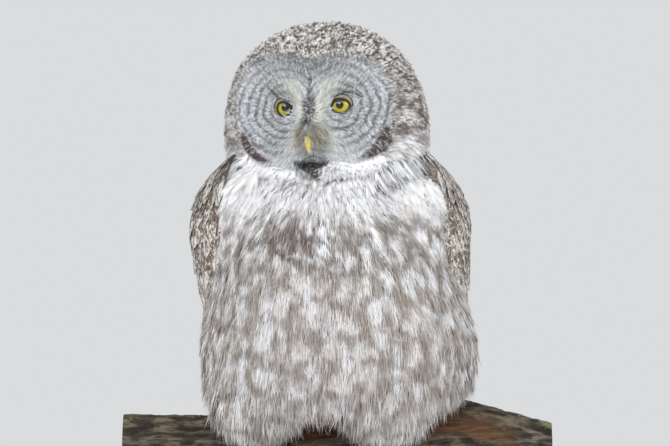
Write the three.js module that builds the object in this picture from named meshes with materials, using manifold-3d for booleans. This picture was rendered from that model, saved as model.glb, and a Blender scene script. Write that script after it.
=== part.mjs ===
// Great grey owl, life size, perched on a short cut length of branch over a plain display stand.
// Millimetres, +Z up. The breast faces -Y, the viewer's right is +X, and the origin is the middle of the
// stand's underside.
import * as THREE from "three";
import { mergeVertices } from "three/addons/utils/BufferGeometryUtils.js";
import Module from "manifold-3d";

const wasm = await Module();
wasm.setup();
const { Manifold } = wasm;

// Driving dimensions
const GAP = 0.3; // air kept between pieces that touch
const HALF_GAP = GAP / 2;
const HEAD_CENTRE = new THREE.Vector3(-11, 2, 548.5);
const HEAD_TURN = THREE.MathUtils.degToRad(-13); // the face is turned to the owl's own right
const HEAD_ROLL = THREE.MathUtils.degToRad(-2.5);
const NECK_TOP = 503;
const NECK_BOTTOM = 487;
const BODY_TOP = 512;
const BODY_BOTTOM = 272;
const TAIL_TIP = 32;
const BASE_THICK = 18;
const BASE = new THREE.Vector2(165, 131); // half its width and half its depth

const owl = new THREE.Group();

// Materials
const paint = (color, roughness, metalness = 0) =>
  new THREE.MeshStandardMaterial({ color, roughness, metalness });
const PLUMAGE = paint(0xbdb6ad, 0.9);
const FACE = paint(0xb3b3b3, 0.9);
const FLIGHT = paint(0x8a8078, 0.85);
const EYE = paint(0xd8c81e, 0.1);
const BILL = paint(0xd9bd2b, 0.35);
const CLAW = paint(0x2b2623, 0.35);
const BARK = paint(0x5b4a3d, 0.95);
const WOOD = paint(0x8a6a48, 0.5);
const STEEL = paint(0x6f7275, 0.35, 0.8);

// A smooth curve through [place, size] pairs, read by place and level beyond both ends.
function profile(...pairs) {
  const last = pairs.length - 1;
  const slope = pairs.map((pair, i) => {
    const [a, b] = [pairs[Math.max(i - 1, 0)], pairs[Math.min(i + 1, last)]];
    return (b[1] - a[1]) / (b[0] - a[0]);
  });
  return (place) => {
    let i = 0;
    while (i < last - 1 && place > pairs[i + 1][0]) i += 1;
    const [[from, low], [to, high]] = [pairs[i], pairs[i + 1]];
    const t = THREE.MathUtils.clamp((place - from) / (to - from), 0, 1);
    const bend = (to - from) * t * (1 - t);
    const eased = t * t * (3 - 2 * t);
    return low + (high - low) * eased + bend * (slope[i] * (1 - t) - slope[i + 1] * t);
  };
}

const signedPower = (value, power) => Math.sign(value) * Math.abs(value) ** power;
const bell = (distance, width) => Math.exp(-((distance / width) ** 2));
const mix = THREE.MathUtils.lerp;
const pointsOf = (...triples) => triples.map((triple) => new THREE.Vector3(...triple));

// Solids in and out of three.js geometry
function solidOf(geometry) {
  const bare = new THREE.BufferGeometry();
  bare.setAttribute("position", geometry.getAttribute("position"));
  bare.setIndex(geometry.index);
  const merged = mergeVertices(bare, 1e-3);
  const corners = Array.from(merged.index.array);
  const kept = [];
  for (let i = 0; i < corners.length; i += 3) {
    const [a, b, c] = corners.slice(i, i + 3);
    if (a !== b && b !== c && c !== a) kept.push(a, b, c);
  }
  const vertProperties = new Float32Array(merged.getAttribute("position").array);
  const meshOf = (faces) =>
    new Manifold(new wasm.Mesh({ numProp: 3, vertProperties, triVerts: new Uint32Array(faces) }));
  const made = meshOf(kept);
  if (made.volume() > 0) return made;
  return meshOf(kept.map((corner, i) => kept[i + [0, 1, -1][i % 3]]));
}

function geometryOf(solid) {
  const mesh = solid.getMesh();
  const geometry = new THREE.BufferGeometry();
  geometry.setAttribute("position", new THREE.BufferAttribute(new Float32Array(mesh.vertProperties), 3));
  geometry.setIndex(new THREE.BufferAttribute(new Uint32Array(mesh.triVerts), 1));
  geometry.computeVertexNormals();
  return geometry;
}

const fused = (pieces) => Manifold.union(pieces);

// The largest closed surface of a solid, with hair-thin scraps and slivers gone.
function largest(solid) {
  const pieces = solid.simplify(0.02).decompose();
  return pieces.reduce((best, piece) => (piece.volume() > best.volume() ? piece : best));
}

function add(parent, name, solid, material) {
  const mesh = new THREE.Mesh(geometryOf(largest(solid)), material);
  mesh.name = name;
  parent.add(mesh);
  return mesh;
}

// Moves every vertex of a geometry to where `place` puts it.
function shaped(geometry, place) {
  const at = geometry.getAttribute("position");
  const point = new THREE.Vector3();
  for (let i = 0; i < at.count; i += 1) {
    point.fromBufferAttribute(at, i);
    const to = place(point);
    at.setXYZ(i, to.x, to.y, to.z);
  }
  return solidOf(geometry);
}

const ball = (centre, radius, around = 20, rings = 14) =>
  shaped(new THREE.SphereGeometry(1, around, rings), (p) =>
    p.clone().multiply(radius.isVector3 ? radius : new THREE.Vector3(radius, radius, radius)).add(centre),
  );

const slab = (centre, size) => {
  const geometry = new THREE.BoxGeometry(size.x, size.y, size.z);
  geometry.translate(centre.x, centre.y, centre.z);
  return solidOf(geometry);
};

// A surface normal by small steps along both of the surface's own directions.
function normalOf(surface, u, v, stepU, stepV) {
  const alongU = surface(u + stepU, v).sub(surface(u - stepU, v));
  const alongV = surface(u, v + stepV).sub(surface(u, v - stepV));
  return alongU.cross(alongV).normalize();
}

// A feather's vane or a lock of long plumage: a thin four-sided blade along a path, sunk at its root and
// tapered at its tip, with both faces split into triangles alike. `path` gives its midline and `outward`
// the way its upper face looks.
const BLADE = { along: [0, 0.28, 0.58, 0.84, 1], width: [0.5, 0.92, 1, 0.7, 0] };
function blade(path, outward, halfWidth, halfThick, { tilt = 0, camber = 0, grow = 0 } = {}) {
  const corners = [];
  const last = BLADE.along.length - 1;
  BLADE.along.forEach((along, k) => {
    const end = k === 0 ? -1 : k === last ? 1 : 0;
    const at = path(along);
    const ahead = path(along + 0.02).sub(path(along - 0.02)).normalize();
    const out = outward(along);
    out.addScaledVector(ahead, -out.dot(ahead)).normalize();
    const side = ahead.clone().cross(out);
    at.addScaledVector(ahead, end * grow * 2);
    const reach = halfWidth * BLADE.width[k] + grow;
    const sag = camber * reach * reach;
    const lean = tilt * reach;
    const half = (k === last ? 0 : halfThick) + grow;
    const place = (across, up) => at.clone().addScaledVector(side, across).addScaledVector(out, up);
    if (k < last || grow > 0) {
      corners.push(place(-reach, lean - sag), place(0, half), place(reach, -lean - sag), place(0, -half));
    } else {
      corners.push(at);
    }
  });
  const faces = [0, 3, 2, 0, 2, 1];
  const rows = Math.floor((corners.length - 1) / 4);
  for (let k = 0; k < (corners.length % 4 ? rows - 1 : rows); k += 1) {
    const [l, t, r, b] = [4 * k, 4 * k + 1, 4 * k + 2, 4 * k + 3];
    faces.push(t, r, r + 4, t, r + 4, t + 4, b, r + 4, r, b, b + 4, r + 4);
    faces.push(t, l + 4, l, t, t + 4, l + 4, b, l, l + 4, b, l + 4, b + 4);
  }
  const [l, t, r, b] = [0, 1, 2, 3].map((corner) => 4 * (corners.length % 4 ? rows - 1 : rows) + corner);
  if (corners.length % 4) {
    const tip = corners.length - 1;
    faces.push(t, r, tip, b, tip, r, t, tip, l, b, l, tip);
  } else {
    faces.push(l, r, b, l, t, r);
  }
  const geometry = new THREE.BufferGeometry().setFromPoints(corners);
  geometry.setIndex(faces);
  return solidOf(geometry);
}

// Body: neck and torso are one shape, read by the angle round it (0 at the breast) and by height
const bodyHalfWidth = profile([272, 88], [290, 120], [312, 133], [338, 137], [380, 129], [430, 118],
  [470, 109], [490, 104], [512, 99]);
const bodyFront = profile([272, 64], [290, 94], [310, 106], [338, 113], [385, 112], [430, 104],
  [470, 87], [490, 69], [512, 47]);
const bodyBack = profile([272, 64], [290, 82], [312, 92], [338, 96], [385, 97], [430, 95], [470, 88],
  [512, 80]);
const bodyMiddle = profile([272, -3], [330, 2], [380, -1], [430, -6], [470, -10], [512, -11]);
const BODY_SQUARENESS = 0.9;

function bodyPoint(angle, height, grow = 0) {
  const depth = Math.cos(angle) > 0 ? bodyFront(height) : bodyBack(height);
  return new THREE.Vector3(
    bodyMiddle(height) + (bodyHalfWidth(height) + grow) * signedPower(Math.sin(angle), BODY_SQUARENESS),
    -(depth + grow) * signedPower(Math.cos(angle), BODY_SQUARENESS),
    height,
  );
}
const bodyNormal = (angle, height) => normalOf(bodyPoint, angle, height, 0.02, 1);

function bodySolid(grow) {
  const rows = 12;
  const ease = (t) => t + 0.09 * Math.sin(2 * Math.PI * t) * -1;
  return shaped(new THREE.CylinderGeometry(1, 1, 1, 28, rows), (p) => {
    const height = mix(BODY_BOTTOM - grow, BODY_TOP + grow, ease(p.y + 0.5));
    const angle = Math.atan2(p.x, -p.z);
    const rim = bodyPoint(angle, height, grow);
    const middle = new THREE.Vector3(bodyMiddle(height), 0, height);
    return middle.lerp(rim, Math.min(1, Math.hypot(p.x, p.z)));
  });
}

// Hem: long soft locks that hang from the lower edge of the body, all round but for the tail
const HEM = { count: 16, reach: 146, thick: 2.6, half: 16.5, start: 328 };
function hangingLock(start, out, length, { swing = 0, flare = 6, half, thick, grow = 0 }) {
  const side = new THREE.Vector3(-out.y, out.x, 0);
  const path = new THREE.QuadraticBezierCurve3(
    start,
    start.clone().addScaledVector(out, flare + 4).addScaledVector(new THREE.Vector3(0, 0, -1), length * 0.45),
    start.clone().addScaledVector(out, flare).addScaledVector(side, swing)
      .addScaledVector(new THREE.Vector3(0, 0, -1), length),
  );
  return blade((along) => path.getPoint(along), () => out.clone(), half, thick, { camber: 0.006, grow });
}
const wave = (i, k) => Math.sin(12.9 * i + 4.1 * k);
function hemLocks(grow) {
  return Array.from({ length: HEM.count }, (_, i) => {
    const degrees = mix(-HEM.reach, HEM.reach, i / (HEM.count - 1)) + 2.5 * wave(i, 1);
    const angle = THREE.MathUtils.degToRad(degrees);
    const start = bodyPoint(angle, HEM.start + 4 * wave(i, 2), -6);
    const out = new THREE.Vector3(Math.sin(angle), -Math.cos(angle), 0);
    const length = 60 + 6 * wave(i, 3) - 10 * Math.abs(Math.sin(angle));
    return hangingLock(start, out, length, { swing: 4 * wave(i, 4), half: HEM.half, thick: HEM.thick, grow });
  });
}

// Rump: the vent and lower back, which narrow from the body to the root of the tail
const RUMP = { centre: new THREE.Vector3(0, 70, 285), size: new THREE.Vector3(54, 27, 58) };
const rumpSolid = (grow) => ball(RUMP.centre, RUMP.size.clone().addScalar(grow), 18, 12);

// Head, in its own frame: origin at HEAD_CENTRE, face to -Y
const SKULL = { side: 104, up: 110.5, down: 74, front: 72, back: 90 };
const DISC = { side: 80, tall: 58, height: 22.5, face: -66 };
const EYES = { apart: 27.9, height: 24.9, radius: 13.5, depth: -47.8, dish: 15, dishDepth: 7 };

function faceDepth(x, z, reach) {
  const rise = z - DISC.height;
  const dish = EYES.dishDepth *
    Math.exp(-((Math.abs(x) - EYES.apart) ** 2 + (z - EYES.height) ** 2) / (2 * EYES.dish ** 2));
  const bridge = 14 * bell(x, 9) * bell(rise + 14, 22);
  const brow = 3.5 * bell((Math.abs(x) - 24) * 0.37 - (rise - 13) * 0.93, 4) * bell(Math.abs(x) - 24, 20);
  const rim = 4 * bell(reach - 0.94, 0.07);
  const bow = 24 * (x / DISC.side) ** 2 + (rise > 0 ? 16 : 10) * (rise / DISC.tall) ** 2;
  return DISC.face + bow + dish - bridge - brow - rim;
}

// How far out the disc's edge lies against an ellipse: fuller at its corners, and most at the owl's upper
// right, notched at the forehead
function discEdge(around) {
  const [across, up] = [Math.cos(around), Math.sin(around)];
  const square = 3.3 - 1.2 * across * Math.max(up, 0);
  const full = (Math.abs(across) ** square + Math.abs(up) ** square) ** (-1 / square);
  return full * (1 - (up > 0 ? 0.14 * bell(across, 0.24) : 0));
}

function facePoint(around, reach) {
  const edge = reach * discEdge(around);
  const x = DISC.side * edge * Math.cos(around);
  const z = DISC.height + DISC.tall * edge * Math.sin(around);
  return new THREE.Vector3(x, faceDepth(x, z, reach), z);
}

function onSkull(direction) {
  const power = 2.15;
  const tall = direction.z > 0 ? SKULL.up : SKULL.down;
  const deep = direction.y > 0 ? SKULL.back : SKULL.front;
  const sum = Math.abs(direction.x / SKULL.side) ** power + Math.abs(direction.y / deep) ** power +
    Math.abs(direction.z / tall) ** power;
  return direction.clone().multiplyScalar(sum ** (-1 / power));
}

// Head surface by the angle round the face and by reach: 0 at the face's middle, 1 at the disc's rim,
// 2 at the back of the head.
function headPoint(around, reach) {
  if (reach <= 1) return facePoint(around, reach);
  const rim = facePoint(around, 1);
  const start = rim.clone().normalize();
  const back = new THREE.Vector3(0, 1, 0);
  const turn = start.angleTo(back) * (reach - 1);
  const axis = start.clone().cross(back).normalize();
  const skull = onSkull(start.clone().applyAxisAngle(axis, turn));
  const blend = THREE.MathUtils.smoothstep(reach, 1, 1.22);
  const offset = rim.clone().sub(onSkull(start)).multiplyScalar(1 - blend);
  return skull.add(offset);
}

function headSolid(grow) {
  return shaped(new THREE.SphereGeometry(1, 34, 22), (p) => {
    const polar = Math.acos(THREE.MathUtils.clamp(-p.y, -1, 1));
    const around = Math.atan2(p.z, p.x);
    const reach = (2 * polar) / Math.PI;
    const at = headPoint(around, reach);
    return grow ? at.add(at.clone().normalize().multiplyScalar(grow)) : at;
  });
}

const head = new THREE.Group();
head.position.copy(HEAD_CENTRE);
head.rotation.set(0, HEAD_ROLL, HEAD_TURN, "ZYX");
owl.add(head);
head.updateMatrixWorld(true);
const toHead = head.matrixWorld.clone().invert();
const moved = (solid, matrix) => solid.transform(Array.from(matrix.elements));

// Bill: two hooked halves that part along the gape
function hooked(path, halfWidth, halfHeight, rows) {
  const curve = new THREE.CatmullRomCurve3(path);
  return (grow) =>
    shaped(new THREE.CylinderGeometry(1, 1, 1, 10, rows), (p) => {
      const along = 0.5 - p.y;
      const middle = curve.getPointAt(along);
      const ahead = curve.getTangentAt(along);
      const up = new THREE.Vector3(1, 0, 0).cross(ahead).normalize();
      return middle
        .add(new THREE.Vector3(p.x * (halfWidth(along) + grow), 0, 0))
        .add(up.multiplyScalar(p.z * (halfHeight(along) + grow)));
    });
}
const upperBill = hooked(
  pointsOf([0, -58, 7], [0, -71, 4], [0, -79.5, -4], [0, -81.5, -13], [0, -76.5, -23]),
  profile([0, 5.2], [0.3, 4.6], [0.6, 3.7], [0.85, 2.4], [1, 0.5]),
  profile([0, 6.5], [0.3, 6], [0.6, 4.8], [0.85, 2.9], [1, 0.5]),
  8,
);
const lowerBill = hooked(
  pointsOf([0, -57, -7], [0, -67, -10], [0, -73.5, -17]),
  profile([0, 4.6], [0.5, 3.8], [1, 1.3]),
  profile([0, 5], [0.5, 4.2], [1, 1.5]),
  5,
);
const NOSTRIL = { side: 4.3, depth: -73, height: 0, radius: 1.4 };
const nostrils = [-1, 1].map((side) =>
  ball(new THREE.Vector3(side * NOSTRIL.side, NOSTRIL.depth, NOSTRIL.height), NOSTRIL.radius, 6, 4));

// Eyes and lids
const eyeCentre = (side) => new THREE.Vector3(side * EYES.apart, EYES.depth, EYES.height);
const LID = { radius: 11.3, thick: 1.9, ahead: 7.4, splay: 0.14 };
function lidRing(side) {
  const ring = new THREE.TorusGeometry(LID.radius, LID.thick, 5, 15);
  ring.rotateX(Math.PI / 2);
  ring.rotateZ(side * LID.splay);
  ring.translate(side * EYES.apart, EYES.depth - LID.ahead, EYES.height);
  return solidOf(ring);
}

const neckCut = (low, high) =>
  slab(new THREE.Vector3(0, 0, (low + high) / 2), new THREE.Vector3(700, 700, high - low));
const belowHead = moved(neckCut(NECK_TOP - 300, NECK_TOP + HALF_GAP), toHead);

const sockets = [-1, 1].map((side) => ball(eyeCentre(side), EYES.radius + GAP, 14, 9));
add(
  head,
  "head",
  fused([headSolid(0), lidRing(-1), lidRing(1)])
    .subtract(fused([...sockets, upperBill(GAP), lowerBill(GAP), belowHead])),
  FACE,
);
add(head, "bill_upper", upperBill(0).subtract(fused(nostrils)), BILL);
add(head, "bill_lower", lowerBill(0).subtract(upperBill(GAP)), BILL);
for (const [side, name] of [[-1, "eye_right"], [1, "eye_left"]]) {
  add(head, name, ball(eyeCentre(side), EYES.radius, 14, 9), EYE);
}

// Perch: a bent, rough length of branch, cut square at both ends
const PERCH = { radius: 35, around: 18, rows: 17 };
const perchLine = new THREE.CatmullRomCurve3(pointsOf(
  [-215, 8, 227], [-120, 2, 229], [-20, 0, 229], [60, 0, 235], [112, 0, 245], [162, -3, 236], [215, -8, 222],
));
function perchSolid(grow) {
  return shaped(new THREE.CylinderGeometry(1, 1, 1, PERCH.around, PERCH.rows), (p) => {
    const along = p.y + 0.5;
    const middle = perchLine.getPointAt(THREE.MathUtils.clamp(along, 0, 1));
    const turn = Math.atan2(p.z, p.x);
    const bark = 1 + 0.03 * Math.sin(5 * turn + 9 * along) + 0.022 * Math.sin(9 * turn - 16 * along) +
      0.02 * Math.sin(13 * along);
    const radius = (PERCH.radius * bark + grow) * Math.min(1, Math.hypot(p.x, p.z));
    return new THREE.Vector3(
      middle.x + grow * 2 * p.y,
      middle.y - radius * Math.cos(turn),
      middle.z + radius * Math.sin(turn),
    );
  });
}

// Wings: each folded wing is a curved sheet round the side of the body, read by s from shoulder to tip
// and t from its front edge to its back edge.
const WING = { top: 532, tip: 95, core: 0.8, under: 2.2 };
const wingSide = profile([95, 42], [170, 64], [250, 94], [320, 119], [385, 134], [440, 140], [470, 139],
  [495, 128], [515, 114], [532, 96]);
const wingDeep = profile([95, 27], [170, 41], [250, 62], [320, 82], [385, 92], [440, 96], [495, 92],
  [532, 84]);
const wingMiddle = profile([95, 84], [170, 69], [250, 46], [320, 24], [385, 12], [440, 8], [532, 4]);
const wingFrontEdge = profile([95, 112], [170, 100], [250, 92], [320, 82], [385, 70], [440, 61],
  [480, 62], [510, 78], [532, 100]);
const wingBackEdge = profile([95, 158], [170, 168], [250, 174], [320, 172], [385, 166], [440, 160],
  [500, 150], [532, 140]);
const wingThick = profile([95, 1.8], [170, 3.5], [250, 5.5], [320, 9], [385, 18], [440, 27], [480, 28],
  [510, 20], [532, 8]);
const wingReach = { [-1]: 1.045, [1]: 0.945 }; // the owl's right wing stands out further than its left
const WRIST_AHEAD = { [-1]: 0, [1]: 11 }; // and its left wrist lies further forward, in degrees

function wingAt(side, s, t, depth = 0) {
  const height = mix(WING.top, WING.tip, s);
  const front = wingFrontEdge(height) - WRIST_AHEAD[side] * THREE.MathUtils.smoothstep(height, 420, 475);
  const angle = THREE.MathUtils.degToRad(mix(front, wingBackEdge(height), t));
  const spread = mix(1, wingReach[side], THREE.MathUtils.smoothstep(height, 330, 460));
  return new THREE.Vector3(
    side * (wingSide(height) * spread - depth) * Math.sin(angle),
    wingMiddle(height) - (wingDeep(height) - depth) * Math.cos(angle),
    height,
  );
}
function wingCore(side) {
  return shaped(new THREE.BoxGeometry(1, 1, 1, 10, 6, 1), (p) => {
    const [s, t] = [(p.x + 0.5) * WING.core, p.y + 0.5];
    const ends = Math.min(1, Math.sqrt((WING.core - s) * 8 + 0.1));
    const edge = Math.sqrt(Math.max(0, 1 - (2 * t - 1) ** 4)) * ends;
    const inner = 1.4 + wingThick(mix(WING.top, WING.tip, s)) * edge;
    return wingAt(side, s, t, WING.under * edge + (p.z > 0 ? 0 : inner));
  });
}
function wingOut(side, s, t) {
  const normal = normalOf((u, v) => wingAt(side, u, v), s, t, 0.01, 0.01);
  return normal.x * side > 0 || (Math.abs(normal.x) < 0.3 && normal.y > 0) ? normal : normal.negate();
}

// Tiers of wing feathers, from the shoulder down: where each row's roots and tips lie along the wing, how
// far its tips step down towards the back, and how its feathers spread from the front edge to the back.
const WING_TIERS = [
  { count: 6, root: 0.09, tip: 0.27, step: 0.03, from: 0.1, to: 0.92, half: 20 }, // lesser coverts
  { count: 6, root: 0.21, tip: 0.41, step: 0.03, from: 0.08, to: 0.92, half: 19.5 }, // median coverts
  { count: 6, root: 0.34, tip: 0.56, step: 0.03, from: 0.09, to: 0.92, half: 17.5 }, // greater coverts
  { count: 5, root: 0.47, tip: 0.75, step: 0.02, from: 0.1, to: 0.91, half: 16 }, // secondaries
  { count: 5, root: 0.62, tip: 0.86, step: 0.13, from: 0.12, to: 0.86, half: 11 }, // primaries
];
const FEATHER = { thick: 0.65, sink: 4.6, tilt: 0.05, camber: 0.0045 };
const featherLift = profile([0, 0], [0.28, 1.4], [0.58, 2.2], [0.84, 3.3], [1, 3.8]);

function wingFeathers(side) {
  return WING_TIERS.flatMap((tier) =>
    Array.from({ length: tier.count }, (_, i) => {
      const share = i / (tier.count - 1);
      const t = mix(tier.from, tier.to, share);
      const drop = tier.step * share;
      const thin = Math.min(1, wingThick(mix(WING.top, WING.tip, tier.root)) / 8);
      const s = (along) => mix(tier.root, tier.tip + drop, along);
      const sunk = (along) => FEATHER.sink * thin * Math.max(0, 1 - along / 0.28);
      const lift = (along) => featherLift(along) - sunk(along) + 0.4 * (i % 2);
      return blade(
        (along) => wingAt(side, s(along), t, -lift(along)),
        (along) => wingOut(side, s(along), t),
        tier.half,
        FEATHER.thick,
        { tilt: side * FEATHER.tilt, camber: FEATHER.camber },
      );
    }));
}

// Tail: feathers laid over one another, the middle pair outermost at the back
const TAIL_ROOT = new THREE.Vector3(0, 74, 300);
const TAIL_END = new THREE.Vector3(0, 104, TAIL_TIP);
const TAIL = { rootHalf: 26, tipHalf: 33, thick: 12, core: 0.3, pairs: 6, half: 13, step: 1.55 };
function tailCore(grow, length) {
  const ahead = TAIL_END.clone().sub(TAIL_ROOT);
  return shaped(new THREE.BoxGeometry(1, 1, 1, 6, 4, 1), (p) => {
    const [along, across] = [(p.y + 0.5) * length, p.x * 2];
    const halfWidth = mix(TAIL.rootHalf, TAIL.tipHalf, along) + grow;
    const middle = TAIL_ROOT.clone().addScaledVector(ahead, along);
    const thick = TAIL.thick * (1 - 0.25 * across * across) + 2 * grow;
    const curve = 5 * across * across;
    return new THREE.Vector3(middle.x + across * halfWidth, middle.y + p.z * thick - curve, middle.z);
  });
}

// Tail feathers in pairs, each pair under the last and further out, and the short coverts on both faces
function tailFeathers() {
  const place = (across, down, back) => {
    const along = (TAIL_ROOT.z - down) / (TAIL_ROOT.z - TAIL_END.z);
    const spread = mix(0.72, 1, THREE.MathUtils.clamp(along, 0, 1));
    return new THREE.Vector3(across * spread, mix(TAIL_ROOT.y, TAIL_END.y, along) + back, down);
  };
  const feather = (across, root, tip, sunk, back, half) =>
    blade(
      (along) => place(across, mix(root, tip, along), mix(sunk, back, Math.min(1, along * 2.2))),
      () => new THREE.Vector3(0, 1, 0),
      half,
      0.62,
      { camber: 0.002 },
    );
  const quills = [-1, 1].flatMap((side) =>
    Array.from({ length: TAIL.pairs }, (_, i) => {
      const back = 4.6 - TAIL.step * i - (side > 0 ? 0.78 : 0);
      const across = side * (6 + 5.4 * i);
      return feather(across, 262 - i, TAIL_TIP + 0.9 * i * i, back * 0.8, back, TAIL.half);
    }));
  const coverts = [-1, 1].flatMap((face) =>
    [-1, -0.5, 0, 0.5, 1].map((place) =>
      feather(25 * place, 268, 196 + 14 * place * place, 4 * face, (face > 0 ? 7.4 : -7.6), 11)));
  return [...quills, ...coverts];
}

// Trousers: hanging locks round the front of each leg, from its feathered lobe
const TROUSER = { count: 7, reach: 92, half: 12, thick: 2.4, start: 284 };
const LOBE = new THREE.Vector3(43, 33, 42);
function trouserLocks(middle) {
  return Array.from({ length: TROUSER.count }, (_, i) => {
    const degrees = mix(-TROUSER.reach, TROUSER.reach, i / (TROUSER.count - 1));
    const angle = THREE.MathUtils.degToRad(degrees);
    const out = new THREE.Vector3(Math.sin(angle), -Math.cos(angle), 0);
    const start = new THREE.Vector3(
      middle.x + (LOBE.x - 7) * Math.sin(angle),
      middle.y - (LOBE.y - 7) * Math.cos(angle),
      TROUSER.start + 3 * wave(i, 5),
    );
    const length = 43 + 4 * wave(i, 6) + 4 * Math.cos(angle);
    const { half, thick } = TROUSER;
    return hangingLock(start, out, length, { swing: 3 * wave(i, 7), flare: 1, half, thick });
  });
}

// Legs: a feathered lobe over the foot, and four feathered toes that grip the perch
const LEGS = { [-1]: new THREE.Vector3(-78, 0, 229), [1]: new THREE.Vector3(48, 0, 234) };
const TOE = { radius: 8, start: 0.15, reach: 1.25, claw: 0.62 };
const TOES = [
  { name: "inner_front", out: -15, way: -1 },
  { name: "outer_front", out: 15, way: -1 },
  { name: "inner_back", out: -14, way: 1 },
  { name: "outer_back", out: 14, way: 1 },
];
function toePoint(foot, toe, angle, lift) {
  const reach = PERCH.radius * 1.05 + lift;
  const drift = toe.out * (0.45 + 0.5 * angle);
  const ahead = toe.way * reach * Math.sin(angle);
  return new THREE.Vector3(foot.x + drift, foot.y + ahead, foot.z + reach * Math.cos(angle));
}
function bentRod(points, radius, around, rows) {
  const curve = new THREE.CatmullRomCurve3(points);
  return shaped(new THREE.CylinderGeometry(1, 1, 1, around, rows), (p) => {
    const along = 0.5 - p.y;
    const middle = curve.getPointAt(along);
    const ahead = curve.getTangentAt(along);
    const side = new THREE.Vector3(1, 0, 0);
    const up = ahead.clone().cross(side).normalize();
    side.crossVectors(up, ahead).normalize();
    const r = radius(along) * Math.min(1, Math.hypot(p.x, p.z));
    const turn = Math.atan2(p.z, p.x);
    return middle.addScaledVector(side, r * Math.cos(turn)).addScaledVector(up, r * Math.sin(turn));
  });
}
function toeSolid(foot, toe) {
  const steps = [0, 0.25, 0.5, 0.75, 1].map((f) =>
    toePoint(foot, toe, mix(TOE.start, TOE.reach, f), TOE.radius - 1.5));
  return bentRod(steps, profile([0, 8], [0.3, 8.6], [0.55, 7.4], [0.8, 7.6], [0.93, 6], [1, 3]), 7, 5);
}
function clawSolid(foot, toe, grow) {
  const longer = grow / 20;
  const steps = [-longer, 0.33, 0.66, 1 + longer].map((f) => {
    const lift = mix(TOE.radius - 1.5, 3.5, f) + 4 * Math.sin(Math.PI * f);
    return toePoint(foot, toe, TOE.reach - 0.02 + TOE.claw * f, lift);
  });
  return bentRod(steps, profile([0, 3.4 + grow], [0.5, 2.4 + grow], [1, 0.4 + grow]), 6, 4);
}

// Stand: a flat oval base and two short rods
const ROD = { radius: 5, top: 215 };
const rodPlaces = [-120, 118];
const perchBlock = perchSolid(GAP);
const bodyBlock = fused([bodySolid(GAP), rumpSolid(GAP), ...hemLocks(GAP)]);
const headBlock = moved(headSolid(GAP), head.matrixWorld);

const rodSolid = (x, grow) => {
  const rod = new THREE.CylinderGeometry(ROD.radius + grow, ROD.radius + grow, 1, 12);
  rod.rotateX(Math.PI / 2);
  rod.scale(1, 1, ROD.top - BASE_THICK - GAP + grow);
  rod.translate(x, 0, (ROD.top + BASE_THICK + GAP) / 2);
  return solidOf(rod);
};

// Body nodes
const allClaws = [-1, 1].flatMap((side) => TOES.map((toe) => clawSolid(LEGS[side], toe, GAP)));
const wholeBody = fused([bodySolid(0), rumpSolid(0), ...hemLocks(0)])
  .subtract(fused([perchSolid(1.2), ...allClaws]));
add(owl, "neck", wholeBody.intersect(neckCut(NECK_BOTTOM + HALF_GAP, NECK_TOP - HALF_GAP)), PLUMAGE);
add(owl, "torso", wholeBody.intersect(neckCut(0, NECK_BOTTOM - HALF_GAP)), PLUMAGE);

add(owl, "tail", fused([tailCore(0, TAIL.core), ...tailFeathers()]).subtract(bodyBlock), FLIGHT);
const wingBlock = fused([bodyBlock, headBlock, tailCore(2.2, 1), ...allClaws]);
for (const [side, name] of [[-1, "wing_right"], [1, "wing_left"]]) {
  add(owl, name, fused([wingCore(side), ...wingFeathers(side)]).subtract(wingBlock), FLIGHT);
}

for (const [side, name] of [[-1, "right"], [1, "left"]]) {
  const foot = LEGS[side];
  const middle = new THREE.Vector3(foot.x - 2, -48, 285);
  const lobe = ball(middle, LOBE, 14, 9);
  const shank = ball(new THREE.Vector3(foot.x, -6, foot.z + 45), new THREE.Vector3(19, 20, 22), 12, 8);
  const leg = fused([lobe, shank, ...trouserLocks(middle), ...TOES.map((toe) => toeSolid(foot, toe))]);
  const claws = TOES.map((toe) => clawSolid(foot, toe, GAP));
  add(owl, `leg_${name}`, leg.subtract(fused([bodyBlock, perchBlock, ...claws])), PLUMAGE);
  for (const toe of TOES) {
    add(owl, `claw_${name}_${toe.name}`, clawSolid(foot, toe, 0).subtract(perchBlock), CLAW);
  }
}

add(owl, "perch", perchSolid(0).subtract(fused(rodPlaces.map((x) => rodSolid(x, GAP)))), BARK);
const base = new THREE.CylinderGeometry(1, 1, BASE_THICK, 48);
base.rotateX(Math.PI / 2);
base.scale(BASE.x, BASE.y, 1);
base.translate(0, 0, BASE_THICK / 2);
add(owl, "stand_base", solidOf(base), WOOD);
for (const [i, name] of ["stand_rod_right", "stand_rod_left"].entries()) {
  add(owl, name, rodSolid(rodPlaces[i], 0), STEEL);
}

export default owl;
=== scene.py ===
import math
from functools import partial

import bmesh
import bpy
import numpy as np
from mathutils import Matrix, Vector, noise


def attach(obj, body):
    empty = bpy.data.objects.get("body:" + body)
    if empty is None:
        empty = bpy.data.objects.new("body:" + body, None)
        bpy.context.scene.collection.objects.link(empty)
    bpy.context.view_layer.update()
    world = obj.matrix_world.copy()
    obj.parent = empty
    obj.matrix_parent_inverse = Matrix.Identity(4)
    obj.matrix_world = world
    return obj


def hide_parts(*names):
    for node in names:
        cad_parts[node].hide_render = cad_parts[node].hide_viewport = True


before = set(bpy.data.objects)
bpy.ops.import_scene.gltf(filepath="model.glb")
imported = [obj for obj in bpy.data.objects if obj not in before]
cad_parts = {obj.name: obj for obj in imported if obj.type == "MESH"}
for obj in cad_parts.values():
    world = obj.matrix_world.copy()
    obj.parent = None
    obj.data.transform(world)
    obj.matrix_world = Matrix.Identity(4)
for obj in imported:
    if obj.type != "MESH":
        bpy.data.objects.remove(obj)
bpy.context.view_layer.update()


# Stand base: an oval board of walnut with its top edge turned to a soft round and its lower edge eased,
# under two coats of satin varnish. Two holes in its top take the rods.
BASE_HALF_WIDTH = 0.165
BASE_HALF_DEPTH = 0.131
BASE_THICK = 18


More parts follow.
